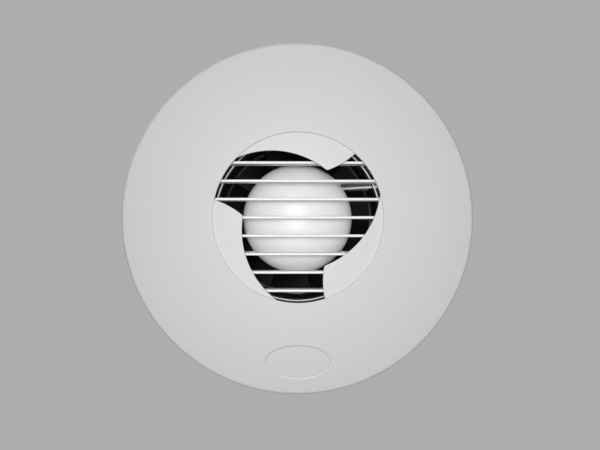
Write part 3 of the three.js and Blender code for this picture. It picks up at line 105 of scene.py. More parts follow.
LEAF_COUNT = 3
LEAF_THICKNESS = 1.4
LEAF_EDGE_RADIUS = 60.5
LEAF_EDGE_ANGLE = 202.2
LEAF_OVERLAP = 1.5
LEAF_REACH = 119.9
LEAF_BUTT_GAP = 0.3
PIVOT_CIRCLE = 76.5
PIVOT_ANGLE = 134.1
PIVOT_RADIUS = 2
PIVOT_BOSS = 5.5
ARM_LENGTH = 14
ARM_HALF_WIDTH = 3.6
NECK_INNER = 50
NECK_FROM = 110
NECK_TO = 140
NECK_SHOULDER = 9
NECK_HEEL = 70
NECK_HEEL_ANGLE = 148
DRIVE_PIN_RADIUS = 1.8
FULL_TURN = 46.6
SHOWN_TURN = 28.7

MODULE = 1
RING_TEETH = 164
PINION_TEETH = 16
SECTOR_TEETH = 14
PRESSURE_ANGLE = 20
ADDENDUM = 0.8
DEDENDUM = 1.3
BACKLASH = 0.3
RING_THICKNESS = 1.6
RING_OUTER = 102
SLOT_GAP = 0.3
PINION_ANGLE = -46
PINION_SHAFT = 2.5

CARRIER_THICKNESS = 2
CARRIER_INNER = 63.1
CARRIER_OUTER = 106
COLLAR_WALL = 1.5
LEDGE_WIDTH = 1.5
LEDGE_BOTTOM = 7.7
GUIDE_WIDTH = 1.8
GUIDE_LENGTH = 12
EAR_RADIUS = 5
EAR_THICKNESS = 2.2
PIVOT_SEAT = 4.4
PIVOT_SINK = 4
POST_CIRCLE = 110
POST_RADIUS = 4
POST_ANGLES = (90, 210, 330)

GRILLE_OUTER = 62.8
GRILLE_INNER = 61.4
GRILLE_TOP = 24
GRILLE_BOTTOM = 9.5
SLAT_COUNT = 9
SLAT_PITCH = 12.75
SLAT_THICKNESS = 1.9

PLATE_RADIUS = 118
PLATE_THICKNESS = 2.5
PLATE_RIM_WIDTH = 1.6
PLATE_RIM_TOP = 6
BARREL_RADIUS = 57.9
BARREL_WALL = 1.8
BARREL_DEPTH = 62
REDUCER_DEPTH = 76
SPIGOT_RADIUS = 49
SPIGOT_WALL = 1.8
SPIGOT_DEPTH = 95
GASKET_INNER = 68
GASKET_OUTER = 75
GASKET_DEPTH = 1.2
WALL_SCREW_CIRCLE = 104
WALL_SCREW_RADIUS = 2.4
WALL_SCREW_ANGLES = (45, 135, 225, 315)

SLEEVE_WALL = 1.5
SLEEVE_TOP = 8.5
SLEEVE_DEPTH = 30
SUPPORT_EAR_CIRCLE = 64.5
SUPPORT_EAR_RADIUS = 3.8
SUPPORT_EAR_THICKNESS = 2.2
SUPPORT_EAR_ANGLES = (60, 180, 300)
POD_RADIUS = 40.3
POD_WALL = 1.8
POD_DEPTH = 31
POD_BORE = 5.5
DOME_HEIGHT = 16
NOSE_FLATNESS = 0.84  # 1 is an ellipse
POD_SHOULDER = -10
DOME_LIP = 3
ARM_ROOT = 30
ARM_WALL = 2.4
ARM_BACK = 26
CHANNEL_LOW = 21.6
CHANNEL_HEIGHT = 6
CHANNEL_DEPTH = 2.9
CHANNEL_WALL = 1.4
CHANNEL_TOP = 7.2
CHANNEL_FOOT = 3
CHANNEL_BEND = 52
CHANNEL_END = 57.5
LEAD_THICKNESS = 1.5
LOWER_ARM_DROP = 25.5

SHAFT_RADIUS = 2.5
HUB_RADIUS = 35
HUB_WALL = 1.8
HUB_FRONT = -34
HUB_BACK = -56
HUB_BOSS = 6
HUB_RIBS = 6
HUB_RIB_HEIGHT = 6
HUB_RIB_HALF = 0.8
BLADE_COUNT = 11
TIP_GAP = 1.2
BLADE_THICKNESS = 1.8
BLADE_CHORD_ROOT = 29
BLADE_CHORD_TIP = 40
BLADE_PITCH_ROOT = 42
BLADE_PITCH_TIP = 21
BLADE_CAMBER = 0.08
NUT_RADIUS = 4.6
NUT_HEIGHT = 3
GROMMET = (-13, -82)
GROMMET_HOLE = 6
GROMMET_FLANGE = 8
GROMMET_FLANGE_THICKNESS = 1.5
GROMMET_BORE = 3.5
BOARD_STAND_INSET = 3.5
BOARD_STAND_RADIUS = 2.5
SCREW_HEAD_RADIUS = 2.6
SCREW_HEAD_HEIGHT = 1.5
SCREW_RADIUS = 1.3
SCREW_HOLE = SCREW_RADIUS + 0.15
SCREW_SLOT = 0.7

# ---- places that follow from them ---------------------------------------------------------------------
DOME_CENTRE = APERTURE_HEIGHT - math.sqrt(DOME_RADIUS ** 2 - APERTURE_RADIUS ** 2)
COVER_IN = DOME_RADIUS - COVER_WALL
LEAF_OUT = COVER_IN - RUN_GAP
LEAF_IN = LEAF_OUT - LEAF_THICKNESS
RING_OUT = LEAF_IN - RUN_GAP
RING_IN = RING_OUT - RING_THICKNESS
CARRIER_OUT = RING_IN - RUN_GAP
CARRIER_IN = CARRIER_OUT - CARRIER_THICKNESS
RING_PITCH = MODULE * RING_TEETH / 2
PINION_PITCH = MODULE * PINION_TEETH / 2
RING_INNER = RING_PITCH + DEDENDUM
SLEEVE_OUTER = BARREL_RADIUS + SLEEVE_WALL
SEAT_RADIUS = SLEEVE_OUTER + SEAT_GAP
UP = Vector((0, 0, 1))
ON_SPHERE = Matrix.Translation((0, 0, DOME_CENTRE))

# ---- how finely shapes are made -----------------------------------------------------------------------
MERGE = 2e-6  # metres: points closer than this are one
DEGENERATE = 1e-6  # metres: an edge shorter than this is none
FINE = 1e-7  # millimetres, between points of a flat outline
COARSE = 1e-5
NEARLY_STRAIGHT = math.radians(88)  # half a corner's angle, above which it is left as it is
SMOOTH_BELOW = 38  # degrees between faces
HARD_ABOVE = 35
FLAT_BELOW = 2
ROW_SHARE = 0.87  # between rows of points, as a share of their spacing
EDGE_SHARE = 0.6  # clear of an outline, likewise
RING_SHARE = 0.4


# ---- flat outlines ------------------------------------------------------------------------------------
def polar(radius, angle):
    return radius * math.cos(math.radians(angle)), radius * math.sin(math.radians(angle))


def beside(centre, radius, angle):
    x, y = polar(radius, angle)
    return centre[0] + x, centre[1] + y


def circle(radius, sides=64, centre=(0, 0)):
    return [beside(centre, radius, 360 * i / sides) for i in range(sides)]


def obround(start, end, half_width, steps=10):
    """A bar with round ends between two points."""
    angle = math.degrees(math.atan2(end[1] - start[1], end[0] - start[0]))
    ends = ((end, angle - 90), (start, angle + 90))
    turns = [180 * i / steps for i in range(steps + 1)]
    return [beside(place, half_width, first + turn) for place, first in ends for turn in turns]


def rounded(points, radius, steps=4):
    """An outline with its corners rounded. radius is one number, or one for each corner."""
    radii = [radius] * len(points) if np.isscalar(radius) else radius
    result = []
    for i, corner in enumerate(points):
        here = Vector(corner)
        back, on = Vector(points[i - 1]) - here, Vector(points[(i + 1) % len(points)]) - here
        half = back.angle(on, math.pi) / 2
        if radii[i] <= 0 or half > NEARLY_STRAIGHT:
            result.append(corner)
            continue
        reach = min(radii[i] / math.tan(half), 0.45 * back.length, 0.45 * on.length)
        start, end = here + back.normalized() * reach, here + on.normalized() * reach
        middle = here + (back.normalized() + on.normalized()).normalized() * (reach / math.cos(half))
        first = start - middle
        sweep = first.angle_signed(end - middle)
        for k in range(steps + 1):
            turned = first.copy()
            turned.rotate(Matrix.Rotation(-sweep * k / steps, 2))
            result.append(tuple(middle + turned))
    return result


def area(loop):
    points = np.array(loop)
    ahead = np.roll(points, -1, axis=0)
    return 0.5 * float(np.sum(points[:, 0] * ahead[:, 1] - ahead[:, 0] * points[:, 1]))


def largest(loops):
    return max(loops, key=lambda loop: abs(area(loop)))


def odd(loops_round_a_place):
    return len(loops_round_a_place) % 2


def meshed(loops, more, keep, tolerance):
    """Triangles between flat outlines and other points: the places, and the triangles that keep() picks."""
    points = [Vector(p) for loop in loops for p in loop] + [Vector(p) for p in more]
    borders, start = [], 0
    for loop in loops:
        around = list(range(start, start + len(loop)))
        borders.append(around if area(loop) > 0 else around[::-1])
        start += len(loop)
    places, _, triangles, _, _, origins = geometry.delaunay_2d_cdt(points, [], borders, 0, tolerance)
    return places, [list(t) for t, o in zip(triangles, origins) if keep(set(o))]


def joined(loops, keep):
    """The outlines of what keep() picks, given the numbers of the loops that a place lies in."""
    loops = [loop if area(loop) > 0 else loop[::-1] for loop in loops]
    places, kept = meshed(loops, [], keep, COARSE)
    borders = {(t[i], t[(i + 1) % len(t)]) for t in kept for i in range(len(t))}
    following = {a: b for a, b in borders if (b, a) not in borders}
    outlines = []
    while following:
        loop, here = [], next(iter(following))
        while here in following:
            loop.append(tuple(places[here]))
            here = following.pop(here)
        outlines.append(loop)
    return outlines


def evenly(loop, step):
    """The outline with points at even steps."""
    points = np.array(loop + loop[:1], float)
    lengths = np.concatenate([[0], np.cumsum(np.linalg.norm(np.diff(points, axis=0), axis=1))])
    places = np.linspace(0, lengths[-1], max(12, int(lengths[-1] / step)), endpoint=False)
    return [tuple(float(np.interp(s, lengths, points[:, axis])) for axis in (0, 1)) for s in places]


def softened(loop, step, passes):
    """The outline with its sharp corners worn round."""
    points = np.array(evenly(loop, step))
    for _ in range(passes):
        points = (np.roll(points, 1, axis=0) + 2 * points + np.roll(points, -1, axis=0)) / 4
    return [tuple(p) for p in points]


def quarter(radius, steps):
    """A quarter round as (across, down) pairs, from its wall to its flat."""
    angles = [math.pi / 2 * k / steps for k in range(steps + 1)]
    return [(radius * (1 - math.cos(a)), radius * (1 - math.sin(a))) for a in angles]


def inset(loop, distance):
    """The outline moved to its left by a distance."""
    points = np.array(loop)
    ahead = np.roll(points, -1, axis=0) - points
    ahead /= np.maximum(np.linalg.norm(ahead, axis=1, keepdims=True), 1e-9)
    behind = np.roll(ahead, 1, axis=0)
    normal = np.stack([-(ahead + behind)[:, 1], (ahead + behind)[:, 0]], axis=1)
    normal /= np.maximum(np.linalg.norm(normal, axis=1, keepdims=True), 1e-9)
    lean_in = np.maximum(np.sum(normal * np.stack([-ahead[:, 1], ahead[:, 0]], axis=1), axis=1), 0.5)
    return points + normal * (distance / lean_in)[:, None]


def inner_points(loops, spacing):
    """A grid of points inside the outlines, clear of their edges."""
    edge = np.concatenate([np.array(loop) for loop in loops])
    low, high = edge.min(0), edge.max(0)
    rows = []
    for k, y in enumerate(np.arange(low[1], high[1], spacing * ROW_SHARE)):
        xs = np.arange(low[0] + (k % 2) * spacing / 2, high[0], spacing)
        rows.append(np.stack([xs, np.full(len(xs), y)], axis=1))
    grid = np.concatenate(rows)
    x, y = grid[:, 0], grid[:, 1]
    inside = np.zeros(len(grid), bool)
    for loop in loops:
        for (x0, y0), (x1, y1) in zip(np.array(loop), np.roll(np.array(loop), -1, axis=0)):
            if y0 != y1:
                inside ^= ((y0 > y) != (y1 > y)) & (x < (x1 - x0) * (y - y0) / (y1 - y0) + x0)
    return [p for p in grid[inside] if np.min(np.sum((edge - p) ** 2, axis=1)) > (EDGE_SHARE * spacing) ** 2]


# ---- shapes -------------------------------------------------------------------------------------------
class Shape:
    """Points and faces in the wall frame, in millimetres."""

    def __init__(self, *others):
        self.points = []
        self.faces = []
        for other in others:
            self.add(other.points, other.faces)

    def add(self, points, faces):
        start = len(self.points)
        self.points.extend(tuple(p) for p in points)
        self.faces.extend([start + i for i in face] for face in faces)
        return self

    def moved(self, matrix):
        return Shape().add([matrix @ Vector(p) for p in self.points], self.faces)

    def turned(self, angle):
        return self.moved(Matrix.Rotation(math.radians(angle), 4, "Z"))


def quads(rows, count, ringed=False, open_rows=False):
    """Faces between neighbouring rows of as many points. Ringed ones join the last row to the first."""
    faces = []
    for row in range(rows if ringed else rows - 1):
        here, beyond = row * count, (row + 1) % rows * count
        for i in range(count - 1 if open_rows else count):
            j = (i + 1) % count
            faces.append([here + i, beyond + i, beyond + j, here + j])
    return faces


def lathe(profile, sides=128, centre=(0, 0), closed=True):
    """A surface of revolution about z, from a closed or open outline of (radius, height) points."""
    count = len(profile)
    points = []
    for i in range(sides):
        c, s = polar(1, 360 * i / sides)
        points.extend((centre[0] + r * c, centre[1] + r * s, z) for r, z in profile)
    faces = quads(sides, count, ringed=True, open_rows=not closed)
    return Shape().add(points, [f for f in faces if profile[f[0] % count][0] or profile[f[3] % count][0]])


def rod(radius, low, high, edge=0.2, sides=32, centre=(0, 0)):
    corners = [(0, low), (radius, low), (radius, high), (0, high)]
    return lathe(rounded(corners, [0, edge, edge, 0]), sides, centre)


def pipe(outer, inner, low, high, edge=0.2, sides=96, centre=(0, 0)):
    return lathe(rounded([(inner, low), (outer, low), (outer, high), (inner, high)], edge), sides, centre)


def flat_place(x, y, level):
    return x, y, level


def sphere_place(x, y, radius):
    """A place on a sphere about the iris's centre, where (x, y) is where its ray meets the leaves."""
    up = math.sqrt(LEAF_OUT ** 2 - x * x - y * y)
    share = radius / LEAF_OUT
    return x * share, y * share, up * share


def sheet(loops, high, low, place=flat_place, edge=0.3, spacing=4.0, steps=3):
    """A plate over flat outlines, between two levels, with rounded edges. Its outside comes first."""
    loops = [loop if (area(loop) > 0) == (i == 0) else loop[::-1] for i, loop in enumerate(loops)]
    rings = [(across, high - down) for down, across in quarter(edge, steps)]
    rings += [(across, low + down) for down, across in reversed(quarter(edge, steps))]
    shape = Shape()
    for loop in loops:
        points = [place(x, y, level) for distance, level in rings for x, y in inset(loop, distance)]
        shape.add(points, quads(len(rings), len(loop)))
    drawn = [[tuple(p) for p in inset(loop, edge)] for loop in loops]
    places, kept = meshed(drawn, inner_points(drawn, spacing) if spacing else [], odd, FINE)
    shape.add([place(p.x, p.y, high) for p in places], kept)
    return shape.add([place(p.x, p.y, low) for p in places], [t[::-1] for t in kept])


def filled(loops, place, spacing, followed=()):
    """An open surface over what the outlines hold. Its points also follow the last outlines."""
    more = [Vector(p) for loop in followed for p in loop]
    grid = [Vector(p) for p in inner_points(loops, spacing)]
    if more:
        near = np.array([tuple(p) for p in more])
        clear = (RING_SHARE * spacing) ** 2
        grid = [p for p in grid if np.min(np.sum((near - np.array(p)) ** 2, axis=1)) > clear]
    places, kept = meshed(loops, more + grid, odd, FINE)
    return Shape().add([place(p.x, p.y) for p in places], kept)


def loft(sections):
    """A closed skin through loops that all have as many points."""
    count = len(sections[0])
    last = (len(sections) - 1) * count
    ends = [list(range(count)), list(range(last, last + count))]
    return Shape().add([p for s in sections for p in s], quads(len(sections), count) + ends)


def bar(section, start, end):
    """A prism along x over a closed outline of (y, z) points."""
    return loft([[(x, y, z) for y, z in section] for x in (start, end)])


# ---- places on the sphere -----------------------------------------------------------------------------
def lean(radius):
    return math.asin(radius / LEAF_OUT)


def direction(radius, angle):
    x, y = polar(radius / LEAF_OUT, angle)
    return Vector((x, y, math.cos(lean(radius))))


def tilt(towards):
    return UP.rotation_difference(towards).to_matrix().to_4x4()


def cone(radius, towards=UP, sides=360):
    """The outline, on the leaves, of everything within a radius of a direction."""
    matrix = tilt(towards)
    x = LEAF_OUT * math.sin(lean(radius))
    z = LEAF_OUT * math.cos(lean(radius))
    return [tuple((matrix @ Vector((*polar(x, 360 * i / sides), z)))[:2]) for i in range(sides)]


PIVOT = direction(PIVOT_CIRCLE, PIVOT_ANGLE)
PINION_AXIS = Matrix.Rotation(
    lean(RING_PITCH) - lean(PINION_PITCH), 3, Vector((*polar(1, PINION_ANGLE + 90), 0))
) @ UP


def arm_at(turn):
    """Towards the drive pin when the leaf has turned this far from closed."""
    out = direction(PIVOT_CIRCLE + ARM_LENGTH, PIVOT_ANGLE)
    return Matrix.Rotation(math.radians(turn - FULL_TURN / 2), 3, PIVOT) @ out


def flat(towards):
    return towards.x * LEAF_OUT, towards.y * LEAF_OUT


def ring_angle(turn):
    pin = arm_at(turn)
    return math.degrees(math.atan2(pin.y, pin.x)) - PIVOT_ANGLE


LEAF_PER_RING = FULL_TURN / (ring_angle(FULL_TURN) - ring_angle(0))
RING_SHOWN = (SHOWN_TURN - FULL_TURN / 2) / LEAF_PER_RING


def height_of(sphere, radius):
    return DOME_CENTRE + math.sqrt(sphere ** 2 - radius ** 2)


def on_axis(towards, shape):
    """A shape made about z, turned to a direction from the sphere's centre."""
    return shape.moved(ON_SPHERE @ tilt(towards))


POST_TOP = height_of(CARRIER_IN, POST_CIRCLE + POST_RADIUS) - SEAT_GAP
EAR_BOTTOM = POST_TOP + SEAT_GAP
EAR_TOP = EAR_BOTTOM + EAR_THICKNESS
POSTS = [polar(POST_CIRCLE, a) for a in POST_ANGLES]
PEGS = [polar(PEG_CIRCLE, a) for a in PEG_ANGLES]


# ---- objects ------------------------------------------------------------------------------------------
def linked(name, data):
    """A new object in the scene."""
    made = bpy.data.objects.new(name, data)
    bpy.context.scene.collection.objects.link(made)
    return made


def shade(mesh, crease):
    mesh.polygons.foreach_set("use_smooth", [True] * len(mesh.polygons))
    mesh.set_sharp_from_angle(angle=math.radians(crease))


def as_mesh(made, name, crease):
    mesh = bpy.data.meshes.new(name)
    made.to_mesh(mesh)
    made.free()
    shade(mesh, crease)
    return mesh


def mesh_of(shape, name, crease=SMOOTH_BELOW):
    """The shape as a mesh in the model's own frame, in metres, shaded smooth up to the crease angle."""
    made = bmesh.new()
    corners = [made.verts.new((x * MM, -z * MM, y * MM)) for x, y, z in shape.points]
    for face in shape.faces:
        if len(set(face)) > 2:
            try:
                made.faces.new([corners[i] for i in face])
            except ValueError:
                continue
    bmesh.ops.remove_doubles(made, verts=made.verts, dist=MERGE)
    bmesh.ops.dissolve_degenerate(made, edges=made.edges, dist=DEGENERATE)
    bmesh.ops.recalc_face_normals(made, faces=made.faces)
    return as_mesh(made, name, crease)


def carve(made, cutters, crease):
    tool = linked("cutter", mesh_of(cutters, "cutter"))
    holes = made.modifiers.new("Holes", "BOOLEAN")
    holes.operation = "DIFFERENCE"
    holes.solver = "EXACT"
    holes.object = tool
    bpy.context.view_layer.update()
    seen = made.evaluated_get(bpy.context.evaluated_depsgraph_get())
    carved = bpy.data.meshes.new_from_object(seen)
    made.modifiers.remove(holes)
    made.data = carved
    bpy.data.objects.remove(tool)
    shade(carved, crease)


def handed_over(made, finish, body, replaces):
    """Gives an object its finish, and hands it to the body that carries it."""
    made.data.materials.clear()
    made.data.materials.append(material(finish))
    smooth = made.modifiers.new("Face weights", "WEIGHTED_NORMAL")
    smooth.keep_sharp = True
    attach(made, body)
    if replaces:
        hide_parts(*replaces)


def piece(name, shape, finish, body, replaces=(), crease=SMOOTH_BELOW, cutters=None):
    """Makes an object of a shape or of a list of them, cuts it if asked, and hands it over."""
    whole = shape if isinstance(shape, Shape) else Shape(*shape)
    made = linked(name, mesh_of(whole, name, crease))
    if cutters is not None:
        carve(made, cutters, crease)
    handed_over(made, finish, body, replaces)


def softened_node(name, node, finish, slot, width):
    """A copy of one of the model's plain pieces with its hard edges rounded."""
    source = frame["nodes"][node]
    made = bmesh.new()
    made.from_mesh(source.data)
    bmesh.ops.remove_doubles(made, verts=made.verts, dist=MERGE)
    bmesh.ops.dissolve_limit(
        made, angle_limit=math.radians(FLAT_BELOW), verts=made.verts, edges=made.edges
    )
    bent = [e for e in made.edges if len(e.link_faces) == 2]
    hard = [e for e in bent if e.calc_face_angle(0) > math.radians(HARD_ABOVE)]
    bmesh.ops.bevel(
        made, geom=hard, offset=width * MM, offset_type="OFFSET", segments=3, profile=0.5,
        affect="EDGES", clamp_overlap=False,
    )
    bmesh.ops.remove_doubles(made, verts=made.verts, dist=MERGE)
    copy = linked(name, as_mesh(made, name, crease=40))
    handed_over(copy, finish, source["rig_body"], (node,))


# ---- shader maths -------------------------------------------------------------------------------------
class Value:
    """A shader socket that takes part in Python expressions."""

    def __init__(self, finish, socket):
        self.finish = finish
        self.socket = socket

    def maths(self, operation, a, b):
        return self.finish.node("ShaderNodeMath", {"operation": operation}, {0: a, 1: b})

    def __add__(self, other):
        return self.maths("ADD", self, other)

    def __sub__(self, other):
        return self.maths("SUBTRACT", self, other)

    def __rsub__(self, other):
        return self.maths("SUBTRACT", other, self)

    def __mul__(self, other):
        return self.maths("MULTIPLY", self, other)

    __radd__ = __add__
    __rmul__ = __mul__


class Finish:
    """A material under construction."""

    def __init__(self, name):
        self.material = bpy.data.materials.new(name)
        self.material.use_nodes = True
        self.tree = self.material.node_tree
        self.tree.nodes.clear()
        self.coordinates = self.node("ShaderNodeTexCoord", output="Object")

    def node(self, kind, settings=None, inputs=None, output=0):
        """Adds a node, sets it up, feeds its sockets, and gives one of its outputs."""
        made = self.tree.nodes.new(kind)
        for name, value in (settings or {}).items():
            setattr(made, name, value)
        for name, value in (inputs or {}).items():
            if isinstance(value, Value):
                self.tree.links.new(value.socket, made.inputs[name])
            else:
                made.inputs[name].default_value = value
        return None if output is None else Value(self, made.outputs[output])

    def noise(self, scale, detail=2.0, roughness=0.5, where=None):
        """Noise whose scale is in features to the metre."""
        inputs = {
            "Vector": where or self.coordinates, "Scale": scale, "Detail": detail, "Roughness": roughness,
        }
        return self.node("ShaderNodeTexNoise", None, inputs)

    def stretched(self, scale):
        """The object's coordinates scaled by a factor along each axis."""
        return self.node("ShaderNodeVectorMath", {"operation": "MULTIPLY"}, {0: self.coordinates, 1: scale})

    def streaks(self, scale, detail=3, roughness=0.6):
        """Noise drawn out by as many features to the metre along each axis."""
        return self.noise(1, detail, roughness, self.stretched(scale))

    def between(self, colour, low, high, share):
        """The colour, from a low to a high share of its brightness."""
        ends = {0: share, 6: (*shaded(colour, low), 1), 7: (*shaded(colour, high), 1)}
        return self.node("ShaderNodeMix", {"data_type": "RGBA"}, ends, output=2)

    def limited(self, value, low, high):
        """The value as a share, from 0 at low to 1 at high."""
        inputs = {"Value": value, "From Min": low, "From Max": high}
        return self.node("ShaderNodeMapRange", {"clamp": True}, inputs)

    def shader(self, colour, roughness, height=None, depth=0.0001, strength=0.1, **fixed):
        """The surface's shader. Height is in shares of depth, which is in metres."""
        inputs = {"Base Color": colour, "Roughness": roughness}
        if height is not None:
            bump = {"Height": height, "Distance": depth, "Strength": strength}
            inputs["Normal"] = self.node("ShaderNodeBump", None, bump)
        inputs.update({name.replace("_", " "): value for name, value in fixed.items()})
        return self.node("ShaderNodeBsdfPrincipled", None, inputs)

    def ended(self, shader):
        """The finished material."""
        self.node("ShaderNodeOutputMaterial", None, {"Surface": shader}, output=None)
        return self.material

    def surface(self, *colour_and_shape, **fixed):
        return self.ended(self.shader(*colour_and_shape, **fixed))


def shaded(colour, share):
    return tuple(min(1.0, c * share) for c in colour)


def moulded(name, colour, roughness, grain=1900, strength=0.12, clouding=0.02, lines=0.0, sheen=0.5):
    """Injection-moulded plastic: a fine skin grain, slow clouding and, if asked, faint level flow lines."""
    finish = Finish(name)
    cloud = finish.noise(16, detail=3)
    skin = finish.noise(grain, detail=2, roughness=0.6)
    worn = finish.noise(90, detail=4, roughness=0.7, where=finish.stretched((1, 1, 9)))
    scuffs = finish.limited(worn, low=0.62, high=0.8)
    share = cloud * 0.7 + skin * 0.3
    height = skin
    if lines:
        bands = finish.streaks((6, 6, 1100))
        share = share * (1 - lines) + bands * lines
        height = skin * 0.5 + bands
    base = finish.between(colour, 1 - clouding, 1 + clouding, share)
    shine = roughness + (cloud - 0.5) * 0.08 + (skin - 0.5) * 0.06 + scuffs * 0.06
    return finish.surface(base, shine, height, 0.00008, strength, Specular_IOR_Level=sheen)


def rolled_steel(name, colour, roughness, marks=(900, 900, 900)):
    """Zinc-plated steel: soft spangle and fine drawn marks."""
    finish = Finish(name)
    spangle = finish.noise(420, detail=3, roughness=0.6)
    drawn = finish.streaks(marks)
    base = finish.between(colour, 0.86, 1.08, spangle * 0.6 + drawn * 0.4)
    shine = roughness + (drawn - 0.5) * 0.16 + (spangle - 0.5) * 0.1
    return finish.surface(base, shine, drawn, 0.00005, 0.15, Metallic=1.0)


def foam(name, colour):
    """Open cells, painted darker in their pits as shade."""
    finish = Finish(name)
    bubbles = {"Vector": finish.coordinates, "Scale": 1300.0}
    cells = finish.node("ShaderNodeTexVoronoi", None, bubbles, "Distance")
    base = finish.between(colour, 0.55, 1.3, cells)
    return finish.surface(base, 0.95 + (cells - 0.5) * 0.05, cells, 0.0004, 0.6)


def wound_copper(name, colour):
    """Lacquered wire laid round the core: fine turns that cross the ring, painted darker in the grooves
    between them as shade.
    """
    finish = Finish(name)
    turns = {"Vector": finish.coordinates, "Scale": 420.0, "Distortion": 1.2, "Detail": 1.0}
    wire = finish.node("ShaderNodeTexWave", {"wave_type": "RINGS", "rings_direction": "Y"}, turns)
    base = finish.between(colour, 0.5, 1.15, wire)
    return finish.surface(base, 0.32 + (1 - wire) * 0.2, wire, 0.0003, 0.5, Metallic=0.9)


def laminated(name, colour):
    """Stacked sheets, seen on their edges along the shaft."""
    finish = Finish(name)
    stack = {"Vector": finish.coordinates, "Scale": 320.0, "Distortion": 0.3}
    sheets = finish.node("ShaderNodeTexWave", {"wave_type": "BANDS", "bands_direction": "Y"}, stack)
    base = finish.between(colour, 0.6, 1.1, sheets)
    return finish.surface(base, 0.42 + (1 - sheets) * 0.2, sheets, 0.0001, 0.4, Metallic=0.85)


def circuit_board(name, colour):
    """Green lacquer over copper tracks that show as slightly lighter, raised lanes."""
    finish = Finish(name)
    tracks = {
        "Vector": finish.stretched((330, 330, 330)), "Scale": 1.0, "Mortar Size": 0.06, "Mortar Smooth": 0.3,
        "Bias": 0.0, "Brick Width": 1.7, "Row Height": 0.7,
    }
    lanes = finish.node("ShaderNodeTexBrick", {"offset": 0.35, "squash": 1.0}, tracks, "Fac")
    dust = finish.noise(1400, detail=2)
    base = finish.between(colour, 0.85, 1.5, lanes * 0.8 + dust * 0.2)
    return finish.surface(base, 0.3 + dust * 0.15, lanes, 0.0001, 0.4)


# ---- what a user would change -------------------------------------------------------------------------
def colour(name, description, default):
    return FloatVectorProperty(
        name=name, description=description, subtype="COLOR", size=3, min=0, max=1, default=default
    )


def length(name, description, default, low, high):
    return FloatProperty(
        name=name, description=description, unit="LENGTH", default=default, min=low, max=high
    )


def angle(name, description, degrees):
    return FloatProperty(name=name, description=description, subtype="ANGLE", default=math.radians(degrees))


def power(name, description, default):
    return FloatProperty(name=name, description=description, subtype="POWER", default=default, min=0)


class FanEdges(bpy.types.PropertyGroup):
    """The small roundings of the moulded edges."""

    leaf: length("Leaf edge", "Rounding of the iris leaves' edges", 0.00035, 0.0001, 0.0006)
    lip: length("Aperture lip", "Rounding of the cover's edge round the iris", 0.0005, 0.0001, 0.0008)
    badge: length("Badge edge", "Rounding of the bare oval and of its recess", 0.00035, 0.0001, 0.0008)
    slat: length("Slat edge", "Rounding of the grille's slats", 0.0006, 0.0001, 0.0009)
    general: length("Other edges", "Rounding of every other moulded edge", 0.0003, 0.0001, 0.0006)


class FanColours(bpy.types.PropertyGroup):
    """The colours of the mouldings and metals."""

    cover: colour("Cover", "White of the disc cover and its bare oval", (0.70, 0.70, 0.695))
    leaf: colour("Leaves", "White of the iris leaves", (0.725, 0.725, 0.73))
    grille: colour("Grille", "White of the inlet grille", (0.84, 0.84, 0.82))
    nose: colour("Motor nose", "White of the motor's nose and its support", (0.90, 0.90, 0.91))
    inner: colour("Inner mouldings", "Off-white of the mouldings under the cover", (0.72, 0.72, 0.70))
    # The sleeve and the impeller take darker shares of this charcoal: painted shade inside the duct, on the
    # impeller over its own dark plastic.
    housing: colour("Housing", "Charcoal of the duct housing, sleeve and impeller", (0.03, 0.03, 0.032))
    acetal: colour("Gears", "Natural white of the drive ring and pinion", (0.80, 0.78, 0.72))
    steel: colour("Steel", "Zinc-plated steel", (0.62, 0.62, 0.64))
    bronze: colour("Bronze", "Bearings, nut and terminals", (0.60, 0.45, 0.24))


class FanStudio(bpy.types.PropertyGroup):
    """The camera and the lights."""

    distance: length("Camera distance", "From the camera to the fan", 0.5131, 0.2, 3)
    focal: FloatProperty(
        name="Focal length", description="Camera lens in millimetres", default=43.9, min=20, max=200
    )
    azimuth: angle("Azimuth", "The camera's angle round the fan", -0.83)
    elevation: angle("Elevation", "The camera's angle above the fan", -0.89)
    aim: FloatVectorProperty(
        name="Aim", description="The point that the camera looks at", subtype="TRANSLATION", size=3,
        default=(0.0014, -0.02, -0.0052),
    )
    front: power("Front light", "Power of the light by the camera", 3.2)
    strip: power("Strip light", "Power of the tall, narrow light", 2.5)
    top: power("Top light", "Power of the light overhead", 1.8)
    back: power("Back light", "Power of the light behind the fan", 16)
    fill: FloatProperty(
        name="Room light", description="Strength of the even light from all round", default=0.145, min=0
    )
    backdrop: colour("Backdrop", "Colour of the floor and the backdrop", (0.42, 0.42, 0.42))


MATERIALS = {}
BLACK_RUBBER = (0.025, 0.025, 0.025)
BLACK_CASE = (0.02, 0.02, 0.023)
# Grey of the lead in the motor's channel, which also stands as painted shade on the channel's floor.
LEAD_SHADE_GREY = (0.12, 0.122, 0.13)
TERMINAL_GREY = (0.45, 0.46, 0.45)
CAPACITOR_YELLOW = (0.55, 0.36, 0.07)
DARK_FOAM = (0.05, 0.05, 0.05)
COPPER = (0.62, 0.26, 0.10)
CORE_STEEL = (0.30, 0.30, 0.31)
BOARD_GREEN = (0.02, 0.12, 0.05)


